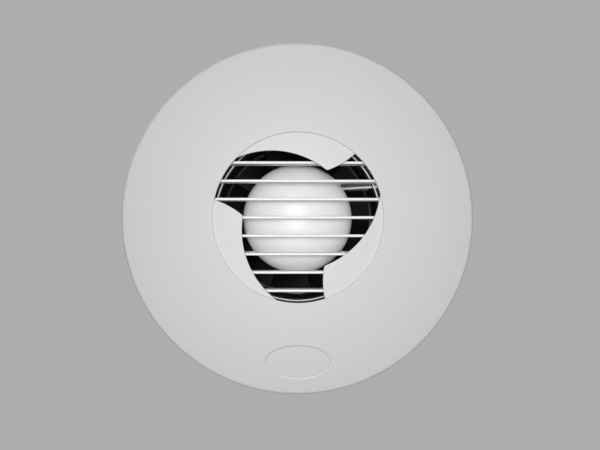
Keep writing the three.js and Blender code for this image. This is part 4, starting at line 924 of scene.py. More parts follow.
def finishes():
    """Every finish by its name: how it is made, its colour and its other settings."""
    paint = bpy.context.scene.fan_colours
    dark = {"grain": 1300, "strength": 0.3, "clouding": 0.12}
    wheel = {"strength": 0.15, "clouding": 0.1, "sheen": 0.15}
    calm = {"strength": 0.05, "clouding": 0.012, "sheen": 0.35}
    nose = {"grain": 2300, "strength": 0.08, "clouding": 0.025, "lines": 0.5, "sheen": 0.12}
    return {
        "cover_white": (moulded, paint.cover, {"roughness": 0.44, **calm}),
        "leaf_white": (moulded, paint.leaf, {"roughness": 0.40, **calm}),
        "grille_white": (moulded, paint.grille, {"roughness": 0.38}),
        "nose_white": (moulded, paint.nose, {"roughness": 0.25, **nose}),
        "support_white": (moulded, paint.nose, {"roughness": 0.42}),
        "inner_white": (moulded, paint.inner, {"roughness": 0.48, "strength": 0.2}),
        "housing_dark": (moulded, paint.housing, {"roughness": 0.46, **dark, "sheen": 0.25}),
        # The sleeve takes a darker share of the housing's charcoal: painted shade, so the duct's inside
        # stays dark.
        "sleeve_dark": (moulded, shaded(paint.housing, 0.35), {"roughness": 0.5, **dark, "sheen": 0.2}),
        # The impeller's own dark plastic, made darker still as painted shade deep in the duct.
        "fan_dark": (moulded, shaded(paint.housing, 0.2), {"roughness": 0.55, **wheel}),
        "gear_white": (moulded, paint.acetal, {"roughness": 0.34, "strength": 0.08, "clouding": 0.03}),
        "rubber_black": (
            moulded, BLACK_RUBBER, {"roughness": 0.62, "grain": 900, "strength": 0.3, "clouding": 0.15}
        ),
        "relay_black": (moulded, BLACK_CASE, {"roughness": 0.3, "strength": 0.1, "clouding": 0.1}),
        "lead_grey": (
            moulded, LEAD_SHADE_GREY, {"roughness": 0.5, "grain": 900, "strength": 0.2, "clouding": 0.06}
        ),
        "terminal_grey": (moulded, TERMINAL_GREY, {"roughness": 0.45, "strength": 0.2, "clouding": 0.04}),
        "capacitor_yellow": (
            moulded, CAPACITOR_YELLOW, {"roughness": 0.3, "grain": 700, "strength": 0.2, "clouding": 0.08}
        ),
        "foam_dark": (foam, DARK_FOAM, {}),
        "plated_steel": (rolled_steel, paint.steel, {"roughness": 0.30}),
        "turned_steel": (rolled_steel, paint.steel, {"roughness": 0.24, "marks": (30, 4000, 30)}),
        "bronze": (rolled_steel, paint.bronze, {"roughness": 0.36}),
        "copper_wire": (wound_copper, COPPER, {}),
        "lamination": (laminated, CORE_STEEL, {}),
        "board_green": (circuit_board, BOARD_GREEN, {}),
    }


def material(name):
    """A finish by name, made when it is first asked for."""
    if name not in MATERIALS:
        make, base, settings = finishes()[name]
        MATERIALS[name] = make(name, base, **settings)
    return MATERIALS[name]


def edges():
    """The edge roundings in millimetres."""
    group = bpy.context.scene.fan_edges
    return {name: getattr(group, name) / MM for name in ("leaf", "lip", "badge", "slat", "general")}


# ---- cover --------------------------------------------------------------------------------------------
FACE_SIDES = 240
PATCH_FROM = 84
PATCH_TO = 118
BEVEL_WIDTH = 0.9
BEVEL_DEPTH = 0.55
# The moulded step round the recess, as (out from the oval, down from the face).
RECESS_STEP = (
    (BEVEL_WIDTH + 0.1, 0), (BEVEL_WIDTH, 0.03), (0.08, BEVEL_DEPTH - 0.05), (0, BEVEL_DEPTH + 0.05),
)
RECESS_FOLLOWED = (BEVEL_WIDTH + 0.5, BEVEL_WIDTH + 1.2)  # rings of points that keep the face smooth
PEG_BOSS = PEG_RADIUS + 1.2
PEG_BOSS_HEIGHT = 6
BADGE_EDGE_MOST = 0.24


def badge_loop(margin, sides=160):
    """The badge's oval, grown all round by a margin."""
    width, height = BADGE_HALF_WIDTH + margin, BADGE_HALF_HEIGHT + margin
    angles = [2 * math.pi * i / sides for i in range(sides)]
    return [(width * math.cos(a), -BADGE_DROP + height * math.sin(a)) for a in angles]


def face_place(x, y, depth):
    """A place on the cover's face, sunk by a depth."""
    return x, y, height_of(DOME_RADIUS, math.hypot(x, y)) - depth


def cover_face():
    """The stretch of the face that holds the badge's recess: a moulded step down, round all its edges."""
    edge = edges()["badge"]
    steps = [*RECESS_STEP, (0, BADGE_RECESS - edge)]
    steps += [(-across, BADGE_RECESS - down) for across, down in quarter(edge, 3)[1:]]
    loops = [badge_loop(margin) for margin, _ in steps]
    rows = [[face_place(x, y, depth) for x, y in loop] for loop, (_, depth) in zip(loops, steps)]
    wall = Shape()
    for upper, lower in zip(rows, rows[1:]):
        wall.add(upper + lower, quads(2, len(upper)))
    floor = filled([loops[-1]], lambda x, y: face_place(x, y, steps[-1][1]), 3.0)
    rings = [circle(PATCH_TO, FACE_SIDES), circle(PATCH_FROM, FACE_SIDES), loops[0]]
    followed = [badge_loop(margin, 120) for margin in RECESS_FOLLOWED]
    return Shape(wall, floor, filled(rings, lambda x, y: face_place(x, y, 0), 3.5, followed))


def cover_shell():
    """The rest of the cover: the face either side of the patch, the rolled rim, the skirt and the inside."""
    lip = edges()["lip"]
    centre = COVER_RADIUS - RIM_ROUND
    slope = math.asin(centre / (DOME_RADIUS - RIM_ROUND))
    rise = height_of(DOME_RADIUS - RIM_ROUND, centre)
    skirt = COVER_RADIUS - COVER_WALL

    def face(sphere, start, end, count):
        radii = [start + (end - start) * k / count for k in range(count + 1)]
        return [(r, height_of(sphere, r)) for r in radii]

    def rim(radius, count=8):
        angles = [(math.pi / 2 - slope) * (1 - k / count) for k in range(count + 1)]
        return [(centre + radius * math.cos(a), rise + radius * math.sin(a)) for a in angles]

    outer_rim, inner_rim = rim(RIM_ROUND), rim(RIM_ROUND - COVER_WALL)
    foot = [
        (COVER_RADIUS, SKIRT_GAP + 0.4), (COVER_RADIUS - 0.12, SKIRT_GAP + 0.12),
        (COVER_RADIUS - 0.4, SKIRT_GAP), (skirt + 0.3, SKIRT_GAP), (skirt, SKIRT_GAP + 0.3),
    ]
    outside = face(DOME_RADIUS, PATCH_TO, outer_rim[0][0], 3)[:-1]
    inside = face(COVER_IN, inner_rim[0][0], APERTURE_RADIUS + 0.2, 18)[1:]
    top = height_of(DOME_RADIUS, APERTURE_RADIUS + lip)
    mouth = [(APERTURE_RADIUS, height_of(COVER_IN, APERTURE_RADIUS) + 0.2)]
    mouth += [(APERTURE_RADIUS + across, top - down) for across, down in quarter(lip, 6)]
    near = face(DOME_RADIUS, APERTURE_RADIUS + lip, PATCH_FROM, 10)[1:]
    profile = [*outside, *outer_rim, *foot, *inner_rim[::-1], *inside, *mouth, *near]
    return lathe(profile, FACE_SIDES, closed=False)


def build_cover():
    both = [cover_face(), cover_shell()]
    piece("cover_shell", both, "cover_white", "cover", ("front_cover",), 50)
    top = height_of(COVER_IN, PEG_CIRCLE)
    pegs = [rod(PEG_RADIUS, PEG_TIP, top - 0.2, 0.5, centre=peg) for peg in PEGS]
    bosses = [rod(PEG_BOSS, top - PEG_BOSS_HEIGHT, top - 0.15, 0.4, centre=peg) for peg in PEGS]
    piece("cover_pegs", pegs + bosses, "cover_white", "cover")


def build_badge():
    """The bare oval that sits in the recess, slightly proud of its floor."""
    edge = min(edges()["badge"], BADGE_EDGE_MOST)
    back = SEAT_GAP - BADGE_RECESS
    plate = sheet(
        [badge_loop(-0.05)], back + BADGE_THICKNESS, back, lambda x, y, level: face_place(x, y, -level),
        edge, 3.0, 4,
    )
    piece("badge_oval", plate, "cover_white", "cover", ("badge_blank",), 60)


# ---- iris ---------------------------------------------------------------------------------------------
SUNK = 0.5  # how far a boss or pin reaches into its leaf


def leaf_outline():
    hollow = cone(LEAF_EDGE_RADIUS + LEAF_BUTT_GAP / 2, direction(LEAF_EDGE_RADIUS, LEAF_EDGE_ANGLE))
    next_edge = direction(LEAF_EDGE_RADIUS, LEAF_EDGE_ANGLE - 360 / LEAF_COUNT)
    bulge = cone(LEAF_EDGE_RADIUS - LEAF_BUTT_GAP / 2, next_edge)
    opened = Matrix.Rotation(-math.radians(FULL_TURN), 3, PIVOT) @ UP
    pivot = polar(PIVOT_CIRCLE, PIVOT_ANGLE)
    neck = [
        polar(NECK_INNER, NECK_FROM), polar(NECK_INNER, NECK_TO), polar(NECK_HEEL, NECK_HEEL_ANGLE),
        beside(pivot, PIVOT_BOSS, PIVOT_ANGLE + 45), beside(pivot, PIVOT_BOSS, PIVOT_ANGLE - 75),
        polar(NECK_INNER + NECK_SHOULDER, NECK_FROM),
    ]
    arm = obround(flat(PIVOT), flat(arm_at(0)), ARM_HALF_WIDTH)
    boss = circle(PIVOT_BOSS, 48, flat(PIVOT))
    loops = [cone(APERTURE_RADIUS + LEAF_OVERLAP), bulge, cone(LEAF_REACH, opened), neck, arm, hollow, boss]
    return largest(joined(loops, lambda o: ({0, 1, 2} <= o or 3 in o or 4 in o) and 5 not in o or 6 in o))


def leaf_shape():
    bore = PIVOT_RADIUS + PIN_GAP
    loops = [softened(leaf_outline(), 0.7, 3), circle(bore, 32, flat(PIVOT))]
    blade = sheet(loops, LEAF_OUT, LEAF_IN, sphere_place, edges()["leaf"])
    boss = pipe(PIVOT_BOSS - 0.3, bore, RING_IN, LEAF_IN + SUNK, sides=48).moved(tilt(PIVOT))
    pin = rod(DRIVE_PIN_RADIUS, RING_IN, LEAF_IN + SUNK, 0.3).moved(tilt(arm_at(0)))
    return Shape(blade, boss, pin).moved(ON_SPHERE @ Matrix.Rotation(math.radians(SHOWN_TURN), 4, PIVOT))


def build_leaves():
    shape = leaf_shape()
    foot = CARRIER_IN - PIVOT_SINK + CARRIER_THICKNESS
    pin = on_axis(PIVOT, rod(PIVOT_RADIUS, foot, LEAF_OUT - SEAT_GAP, 0.3))
    for i in range(LEAF_COUNT):
        blade, post = shape.turned(360 * i / LEAF_COUNT), pin.turned(360 * i / LEAF_COUNT)
        n = i + 1
        piece(f"leaf_blade_{n}", blade, "leaf_white", f"leaf_{n}", (f"iris_leaf_{n}",), 55)
        piece(f"pivot_{n}", post, "turned_steel", "housing", (f"leaf_pivot_pin_{n}",))


def half_tooth(teeth, radius):
    """Half the angle that a tooth fills at a radius."""
    pressure = math.radians(PRESSURE_ANGLE)
    here = math.acos(min(1, MODULE * teeth / 2 * math.cos(pressure) / radius))
    return math.pi / (2 * teeth) + (math.tan(pressure) - pressure) - (math.tan(here) - here)


def flank(start, end, steps, half):
    """One side of a tooth as (radius, half angle) pairs."""
    radii = [start + (end - start) * k / steps for k in range(steps + 1)]
    return [(radius, math.degrees(half(radius) - BACKLASH / 2 / radius)) for radius in radii]


def both_sides(side, middle):
    """Up one side of a tooth and down the other."""
    up = [polar(radius, middle - half) for radius, half in side]
    return up + [polar(radius, middle + half) for radius, half in reversed(side)]


def pinion_outline():
    side = flank(PINION_PITCH - DEDENDUM, PINION_PITCH + ADDENDUM, 5, lambda r: half_tooth(PINION_TEETH, r))
    teeth = [both_sides(side, PINION_ANGLE + i * 360 / PINION_TEETH) for i in range(PINION_TEETH)]
    return [point for tooth in teeth for point in tooth]


def ring_loops():
    """The round outside, the toothed sector inside, and the slots of the three drive pins."""
    pitch = 360 / RING_TEETH
    start = PINION_ANGLE - SECTOR_TEETH / 2 * pitch
    end = start + SECTOR_TEETH * pitch

    def half_space(radius):
        return math.pi / RING_TEETH - half_tooth(RING_TEETH, radius)

    space = flank(RING_PITCH - ADDENDUM, RING_INNER, 4, half_space)[::-1]
    middles = [start + (i + 0.5) * pitch for i in range(SECTOR_TEETH)]
    bore = [point for middle in middles for point in both_sides(space, middle)]
    bore += [polar(RING_INNER, end + (start + 360 - end) * k / 300) for k in range(1, 300)]
    inner, outer = (math.hypot(*flat(arm_at(turn))) for turn in (0, FULL_TURN / 2))
    turns = [PIVOT_ANGLE + RING_SHOWN + i * 360 / LEAF_COUNT for i in range(LEAF_COUNT)]
    slots = [obround(polar(inner, a), polar(outer, a), DRIVE_PIN_RADIUS + SLOT_GAP) for a in turns]
    return [circle(RING_OUTER, 360), bore, *slots]


def build_drive():
    ring = sheet(ring_loops(), RING_OUT, RING_IN, sphere_place, 0.12, steps=2).moved(ON_SPHERE)
    piece("toothed_ring", ring, "gear_white", "ring", ("drive_ring",), 30)
    wheel = sheet([pinion_outline()], RING_OUT, RING_IN, sphere_place, 0.1, 0, 2)
    shaft = rod(PINION_SHAFT, CARRIER_IN - 3, RING_OUT - 0.2)
    both = on_axis(PINION_AXIS, Shape(wheel, shaft))
    piece("pinion_wheel", both, "gear_white", "pinion", ("drive_pinion",), 30)


# ---- iris carrier -------------------------------------------------------------------------------------
def build_carrier():
    root = CARRIER_OUTER - EAR_RADIUS
    ears = [obround(polar(root, a), polar(POST_CIRCLE, a), EAR_RADIUS) for a in POST_ANGLES]
    outline = evenly(largest(joined([circle(CARRIER_OUTER, 360), *ears], bool)), 1.2)
    holes = [circle(CARRIER_INNER + 0.6, 300), circle(PINION_SHAFT + RUN_GAP, 40, flat(PINION_AXIS))]
    holes += [circle(SCREW_HEAD_RADIUS + SEAT_GAP, 40, post) for post in POSTS]
    plate = sheet([outline, *holes], CARRIER_OUT, CARRIER_IN, sphere_place, edges()["general"], steps=2)
    wall, ledge = CARRIER_INNER + COLLAR_WALL, CARRIER_INNER - LEDGE_WIDTH
    top = height_of(CARRIER_OUT, CARRIER_INNER)
    foot = GRILLE_BOTTOM - SEAT_GAP
    collar = [
        (ledge, foot), (ledge, LEDGE_BOTTOM), (wall, LEDGE_BOTTOM), (wall, top - 0.6),
        (CARRIER_INNER, top - 0.1), (CARRIER_INNER, foot),
    ]
    parts = [plate.moved(ON_SPHERE), lathe(rounded(collar, 0.3), 180)]
    seat = pipe(PIVOT_SEAT, PIVOT_RADIUS + 0.1, CARRIER_IN - PIVOT_SINK, CARRIER_OUT - 0.3, 0.3, 40)
    for i, post in enumerate(POSTS):
        turn = POST_ANGLES[0] + (i + 0.5) * 120
        middle = polar(RING_OUTER + RUN_GAP + GUIDE_WIDTH / 2, turn)
        ends = [beside(middle, -GUIDE_LENGTH / 2, turn + 90), beside(middle, GUIDE_LENGTH / 2, turn + 90)]
        track = obround(*ends, GUIDE_WIDTH / 2)
        guide = sheet([track], RING_OUT - RUN_GAP / 2, CARRIER_IN + 1, sphere_place, 0.25, 0, 2)
        parts.append(guide.moved(ON_SPHERE))
        parts.append(on_axis(PIVOT, seat).turned(i * 120))
        parts.append(pipe(EAR_RADIUS, SCREW_HOLE, EAR_BOTTOM, EAR_TOP, sides=48, centre=post))
    piece("carrier_plate", parts, "inner_white", "housing", ("iris_carrier",))


# ---- inlet grille -------------------------------------------------------------------------------------
def build_grille():
    edge = edges()["slat"]
    half = SLAT_THICKNESS / 2
    corners = [(-half, GRILLE_BOTTOM), (half, GRILLE_BOTTOM), (half, GRILLE_TOP), (-half, GRILLE_TOP)]
    section = rounded(corners, [0.3, 0.3, edge, edge], 5)
    parts = [pipe(GRILLE_OUTER, GRILLE_INNER, GRILLE_BOTTOM, GRILLE_TOP, 0.45, 220)]
    for i in range(SLAT_COUNT):
        y = (i - (SLAT_COUNT - 1) / 2) * SLAT_PITCH
        reach = math.sqrt((GRILLE_INNER + 0.5) ** 2 - (abs(y) + half) ** 2)
        parts.append(bar([(y + dy, z) for dy, z in section], -reach, reach))
    piece("grille_slats", parts, "grille_white", "housing", ("inlet_grille",))


# ---- motor support ------------------------------------------------------------------------------------
def build_nose():
    lip_outer = POD_RADIUS - POD_WALL - SEAT_GAP
    lip_inner = lip_outer - POD_WALL
    lip_end = POD_SHOULDER - DOME_LIP

    def crown(radius, height, count):
        """A dome's profile from its top to its edge, flatter in the middle than an ellipse."""
        angles = [math.pi / 2 * (k / count) for k in range(1, count)]
        shares = [(math.sin(a) ** NOSE_FLATNESS, math.cos(a) ** NOSE_FLATNESS) for a in angles]
        bent = [(radius * across, POD_SHOULDER + height * up) for across, up in shares]
        return [(0, POD_SHOULDER + height), *bent, (radius, POD_SHOULDER)]

    outside = crown(POD_RADIUS, DOME_HEIGHT, 40)
    inside = crown(lip_inner, DOME_HEIGHT - POD_WALL, 24)[::-1]
    profile = [*outside, (lip_outer, POD_SHOULDER), (lip_outer, lip_end), (lip_inner, lip_end), *inside]
    piece("motor_nose", lathe(profile, 160), "nose_white", "housing", ("motor_dome",), 50)


def web(points, low, high, edge):
    """A plate drawn in (x, z) and laid across y."""
    loop = points if area(points) > 0 else points[::-1]
    return sheet([rounded(loop, 1.7 * edge)], high, low, lambda x, z, y: (x, y, z), edge, 0, 2)


def upright(left, right, low, high):
    return [(left, high), (left, low), (right, low), (right, high)]


def build_support():
    """The pod's cup with its arms, the cable channel on the upper arm, the grey lead in it that doubles as
    painted shade on the channel's floor, and the sleeve.
    """
    general = edges()["general"]
    rim, wall = POD_SHOULDER - SEAT_GAP, POD_RADIUS - POD_WALL
    cup_floor = -POD_DEPTH + POD_WALL
    cup = [
        (POD_BORE, cup_floor), (POD_BORE, -POD_DEPTH), (POD_RADIUS, -POD_DEPTH), (POD_RADIUS, rim),
        (wall, rim), (wall, cup_floor),
    ]
    shoulder = POD_SHOULDER - 2 * SEAT_GAP
    side = math.sqrt(POD_RADIUS ** 2 - CHANNEL_LOW ** 2) + SEAT_GAP
    low, high = CHANNEL_LOW, CHANNEL_LOW + CHANNEL_HEIGHT
    floor = CHANNEL_TOP - CHANNEL_DEPTH
    bend = CHANNEL_BEND - 1

    def arm(bottom, top, drop, sign=1):
        far = math.sqrt((BARREL_RADIUS + 0.3) ** 2 - max(abs(bottom), abs(top)) ** 2)
        level = CHANNEL_TOP - drop
        points = [
            (ARM_ROOT, -ARM_BACK), (ARM_ROOT, shoulder - drop), (side, shoulder - drop),
            (CHANNEL_BEND, level), (max(far, CHANNEL_BEND + 1), level), (far, -ARM_BACK),
        ]
        return web([(sign * x, z) for x, z in points], bottom, top, general)

    lower = (-LOWER_ARM_DROP - ARM_WALL / 2, -LOWER_ARM_DROP + ARM_WALL / 2)
    walls = ((low, low + CHANNEL_WALL), (high - CHANNEL_WALL, high))
    spout = upright(bend, CHANNEL_END, floor - CHANNEL_WALL, CHANNEL_TOP)
    parts = [lathe(rounded(cup, [0.2, 0.2, 1.2, 0.3, 0.3, 0.8]), 140)]
    parts += [arm(*lower, 0, sign) for sign in (-1, 1)]
    parts += [arm(*span, 0) for span in walls]
    parts.append(arm(low + 0.5, high - 0.5, CHANNEL_DEPTH))
    parts += [web(spout, *span, general) for span in walls]
    end_wall = upright(CHANNEL_END - 1.1, CHANNEL_END, CHANNEL_FOOT, CHANNEL_TOP)
    parts.append(web(end_wall, low + 0.2, high - 0.2, general))
    filling = upright(bend, CHANNEL_END - 0.4, CHANNEL_FOOT, floor)
    parts.append(web(filling, low + 0.4, high - 0.4, general))
    # A grey lead on the channel's floor: a lead to the motor, and also painted shade that darkens the
    # channel's recess.
    run = [(side - 2, shoulder - CHANNEL_DEPTH), (CHANNEL_BEND, floor), (CHANNEL_END - 1.4, floor)]
    run += [(x, z + LEAD_THICKNESS) for x, z in reversed(run)]
    lead = web(run, walls[0][1] + 0.1, walls[1][0] - 0.1, 0.25)
    piece("motor_lead", lead, "lead_grey", "housing")
    piece("motor_pod", parts, "support_white", "housing", ("motor_support",))
    build_sleeve()


def build_sleeve():
    """The sleeve that lines the barrel, with the ears that screw it down, and its light front edge."""
    ear_low = PLATE_THICKNESS + SEAT_GAP
    parts = [pipe(SLEEVE_OUTER, BARREL_RADIUS, -SLEEVE_DEPTH, SLEEVE_TOP - 0.3, 0.3, 180)]
    for a in SUPPORT_EAR_ANGLES:
        middle = polar(SUPPORT_EAR_CIRCLE, a)
        tab = obround(polar(BARREL_RADIUS + 1, a), middle, SUPPORT_EAR_RADIUS)
        loops = [tab, circle(BARREL_RADIUS + 0.6, 240)]
        ear = evenly(largest(joined(loops, lambda o: 0 in o and 1 not in o)), 0.6)
        hole = circle(SCREW_HOLE, 24, middle)
        ear_high = ear_low + SUPPORT_EAR_THICKNESS
        parts.append(sheet([ear, hole], ear_high, ear_low, edge=0.2, spacing=0, steps=2))
    # The sleeve's darker colour is painted shade inside the duct.
    piece("inlet_sleeve", parts, "sleeve_dark", "housing", ("motor_support",))
    rim = pipe(SLEEVE_OUTER + 0.1, SLEEVE_OUTER - 0.7, SLEEVE_TOP - 0.8, SLEEVE_TOP, sides=180)
    piece("sleeve_rim", rim, "support_white", "housing")


# ---- duct housing -------------------------------------------------------------------------------------
def duct_profile():
    """The section as (radius, height, corner radius) rows, from the sleeve's seat round to the plate."""
    seat_outer, barrel_outer = SEAT_RADIUS + BARREL_WALL, BARREL_RADIUS + BARREL_WALL
    seat_depth = -SLEEVE_DEPTH - SEAT_GAP
    seat_back = seat_depth - BARREL_WALL
    spigot_inner = SPIGOT_RADIUS - SPIGOT_WALL
    rim_inner = PLATE_RADIUS - PLATE_RIM_WIDTH
    return [
        (SEAT_RADIUS, PLATE_THICKNESS, 0.6), (SEAT_RADIUS, seat_depth, 0.3),
        (BARREL_RADIUS, seat_depth, 0.2), (BARREL_RADIUS, -BARREL_DEPTH, 6),
        (spigot_inner, -REDUCER_DEPTH, 5), (spigot_inner, -SPIGOT_DEPTH, 0.4),
        (SPIGOT_RADIUS, -SPIGOT_DEPTH, 0.6), (SPIGOT_RADIUS, -REDUCER_DEPTH, 6),
        (barrel_outer, -BARREL_DEPTH, 6), (barrel_outer, seat_back, 0.4),
        (seat_outer, seat_back, 0.6), (seat_outer, 0, 1.2),
        (GASKET_INNER, 0, 0.2), (GASKET_INNER, GASKET_DEPTH, 0.2),
        (GASKET_OUTER, GASKET_DEPTH, 0.2), (GASKET_OUTER, 0, 0.2),
        (PLATE_RADIUS, 0, 0.8), (PLATE_RADIUS, PLATE_RIM_TOP, 0.5),
        (rim_inner, PLATE_RIM_TOP, 0.5), (rim_inner, PLATE_THICKNESS, 0.8),
    ]


def build_housing():
    general = edges()["general"]
    rows = duct_profile()
    shell = lathe(rounded([(r, z) for r, z, _ in rows], [corner for _, _, corner in rows], 5), 200)
    holes = [rod(GROMMET_HOLE, -2, 6, 0, 64, GROMMET)]
    holes += [rod(WALL_SCREW_RADIUS, -2, 6, 0, 40, polar(WALL_SCREW_CIRCLE, a)) for a in WALL_SCREW_ANGLES]
    duct = ("duct_housing",)
    piece("duct_body", shell, "housing_dark", "housing", duct, 32, Shape(*holes))
    foot = PLATE_THICKNESS - 0.4
    stands = [pipe(POST_RADIUS, SCREW_HOLE, foot, POST_TOP, general, 48, post) for post in POSTS]
    stands += [pipe(SOCKET_OUTER, SOCKET_BORE, foot, SOCKET_HEIGHT, general, 48, peg) for peg in PEGS]
    low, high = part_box("control_board")
    back = -high.y / MM - SEAT_GAP
    for x in (low.x / MM + BOARD_STAND_INSET, high.x / MM - BOARD_STAND_INSET):
        for y in (low.z / MM + BOARD_STAND_INSET, high.z / MM - BOARD_STAND_INSET):
            stands.append(rod(BOARD_STAND_RADIUS, foot, back, centre=(x, y)))
    piece("housing_stands", stands, "housing_dark", "housing")
    gasket = pipe(GASKET_OUTER - SEAT_GAP, GASKET_INNER + SEAT_GAP, 0, GASKET_DEPTH - SEAT_GAP, 0.25, 180)
    piece("foam_ring", gasket, "foam_dark", "housing", ("wall_gasket",))
    plug = GROMMET_HOLE - SEAT_GAP
    seat = PLATE_THICKNESS + SEAT_GAP
    top = seat + GROMMET_FLANGE_THICKNESS
    profile = [
        (GROMMET_BORE, SEAT_GAP), (plug, SEAT_GAP), (plug, seat), (GROMMET_FLANGE, seat),
        (GROMMET_FLANGE, top), (GROMMET_BORE, top),
    ]
    grommet = lathe(rounded(profile, [0.6, 0.3, 0.1, 0.3, 0.7, 0.6]), 64, GROMMET)
    piece("cord_grommet", grommet, "rubber_black", "housing", ("cable_grommet",))


# ---- impeller -----------------------------------------------------------------------------------------
BLADE_STATIONS = 15
BLADE_SIDES = 36
BLADE_BLUNTNESS = 0.7  # 1 is an ellipse
BLADE_TAPER = 0.35


def blade_section(share):
    """The blade's section at a share of the way from its root to its tip, bent round the hub's axis."""
    root, tip = HUB_RADIUS - 1.2, BARREL_RADIUS - TIP_GAP
    radius = root + (tip - root) * share
    chord = BLADE_CHORD_ROOT + (BLADE_CHORD_TIP - BLADE_CHORD_ROOT) * share
    pitch = math.radians(BLADE_PITCH_ROOT + (BLADE_PITCH_TIP - BLADE_PITCH_ROOT) * share)
    middle = (HUB_FRONT + HUB_BACK) / 2
    loop = []
    for i in range(BLADE_SIDES):
        a = 2 * math.pi * i / BLADE_SIDES
        s = (1 + math.cos(a)) / 2
        bow = BLADE_CAMBER * chord * (1 - (2 * s - 1) ** 2)
        bulge = math.copysign(abs(math.sin(a)) ** BLADE_BLUNTNESS, math.sin(a))
        along, across = (s - 0.5) * chord, bow + BLADE_THICKNESS / 2 * bulge * (1 - BLADE_TAPER * s)
        around = (along * math.cos(pitch) - across * math.sin(pitch)) / radius
        height = along * math.sin(pitch) + across * math.cos(pitch)
        loop.append((radius * math.cos(around), radius * math.sin(around), middle + height))
    return loop


def build_impeller():
    nut_top = HUB_BACK + NUT_HEIGHT + SEAT_GAP
    bore = SHAFT_RADIUS + SEAT_GAP
    skirt, disc, boss_end = HUB_RADIUS - HUB_WALL, HUB_FRONT - HUB_WALL, nut_top + SEAT_GAP
    hub = [
        (bore, HUB_FRONT), (HUB_RADIUS, HUB_FRONT), (HUB_RADIUS, HUB_BACK), (skirt, HUB_BACK),
        (skirt, disc), (HUB_BOSS, disc), (HUB_BOSS, boss_end), (bore, boss_end),
    ]
    parts = [lathe(rounded(hub, [0.2, 2.5, 0.4, 0.4, 1.5, 1.2, 0.4, 0.2]), 140)]
    high = HUB_FRONT - HUB_WALL / 2
    low = high - HUB_RIB_HEIGHT - HUB_WALL / 2
    corners = [(-HUB_RIB_HALF, low), (HUB_RIB_HALF, low), (HUB_RIB_HALF, high), (-HUB_RIB_HALF, high)]
    rib = bar(rounded(corners, [0.3, 0.3, 0, 0]), HUB_BOSS - 0.8, HUB_RADIUS - 0.8)
    parts += [rib.turned(i * 360 / HUB_RIBS) for i in range(HUB_RIBS)]
    blade = loft([blade_section(k / (BLADE_STATIONS - 1)) for k in range(BLADE_STATIONS)])
    parts += [blade.turned(i * 360 / BLADE_COUNT) for i in range(BLADE_COUNT)]
    # Its finish is dark plastic, darkened further as painted shade.
    piece("fan_wheel", parts, "fan_dark", "impeller", ("impeller",), 45)
    hexagon = rounded(circle(NUT_RADIUS, 6), 0.7)
    nut = sheet([hexagon, circle(bore, 32)], nut_top, nut_top - NUT_HEIGHT, edge=0.35, spacing=0, steps=2)
    piece("shaft_nut", nut, "bronze", "impeller", ("impeller_nut",), 30)
    shaft = rod(SHAFT_RADIUS, HUB_BACK - 1, -5, 0.5, 48)
    piece("shaft_rod", shaft, "turned_steel", "impeller", ("motor_shaft",))


# ---- small pieces -------------------------------------------------------------------------------------
SCREW_SLOT_FLOOR = 0.75


def screw_shape(length_below):
    profile = [
        (0, -length_below), (SCREW_RADIUS, -length_below), (SCREW_RADIUS, 0), (SCREW_HEAD_RADIUS, 0),
        (SCREW_HEAD_RADIUS, 0.7), (SCREW_HEAD_RADIUS * 0.72, SCREW_HEAD_HEIGHT), (0, SCREW_HEAD_HEIGHT),
    ]
    return lathe(rounded(profile, [0, 0.5, 0.1, 0.15, 0.5, 0.5, 0]), 40)


def slot_cutter():
    half, reach = SCREW_SLOT / 2, SCREW_HEAD_RADIUS + 1
    low, high = SCREW_SLOT_FLOOR, 2 * SCREW_HEAD_HEIGHT
    return bar([(-half, low), (half, low), (half, high), (-half, high)], -reach, reach)


def build_screws():
    """Slotted pan-head screws where the model's screws stand. The gear motor's stay as they are."""
    for name in frame["nodes"]:
        if "_screw_" not in name or name.startswith("iris_motor"):
            continue
        low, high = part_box(name)
        back, front = -high.y / MM, -low.y / MM
        middle = ((low.x + high.x) / 2 / MM, (low.z + high.z) / 2 / MM)
        place = Matrix.Translation((*middle, front - SCREW_HEAD_HEIGHT))
        metal, slot = ("bronze", "bronze") if name.startswith("terminal") else ("plated_steel", "steel")
        shape = screw_shape(front - back - SCREW_HEAD_HEIGHT).moved(place)
        piece("fastener_" + name, shape, metal, "housing", (name,), cutters=slot_cutter().moved(place))


# The name, the model's node, the finish, the slot and the width of the rounded edges.
SOFTENED_PIECES = (
    ("circuit_card", "control_board", "board_green", "board", 0.15),
    ("film_capacitor", "board_capacitor", "capacitor_yellow", "capacitor", 1.0),
    ("run_on_relay", "board_relay", "relay_black", "relay", 0.4),
    ("terminal_strip", "terminal_block", "terminal_grey", "terminal", 0.15),
    ("terminal_lid", "terminal_cover", "inner_white", "inner_white", 0.4),
    ("cord_bridge", "cord_clamp", "inner_white", "inner_white", 0.3),
    ("iris_gearmotor", "iris_motor", "plated_steel", "steel", 0.3),
)
PLAIN_FINISHES = {
    "plated_steel": ("motor_can", "motor_end_plate", "iris_motor_screw_1", "iris_motor_screw_2"),
    "lamination": ("stator_core", "rotor_core"),
    "copper_wire": ("winding_front", "winding_rear"),
    "bronze": ("bearing_front", "bearing_rear"),
}


def build_electrics():
    for row in SOFTENED_PIECES:
        softened_node(*row)


def finish_plain_nodes():
    """The motor's inner pieces keep the model's shapes and take their finishes."""
    for finish, nodes in PLAIN_FINISHES.items():
        for node in nodes:
            data = frame["nodes"][node].data
            data.materials.clear()
            data.materials.append(material(finish))


# ---- stage, in metres ---------------------------------------------------------------------------------
SENSOR_WIDTH = 36  # millimetres
NEAR_CLIP = 0.01
STAGE_REACH = 6
FLOOR_LEVEL = -0.9
FLOOR_SHOWN = 0.6
BACKDROP_PLACE = 2.2
BACKDROP_TOP = 4
BACKDROP_SHOWN = 1.0
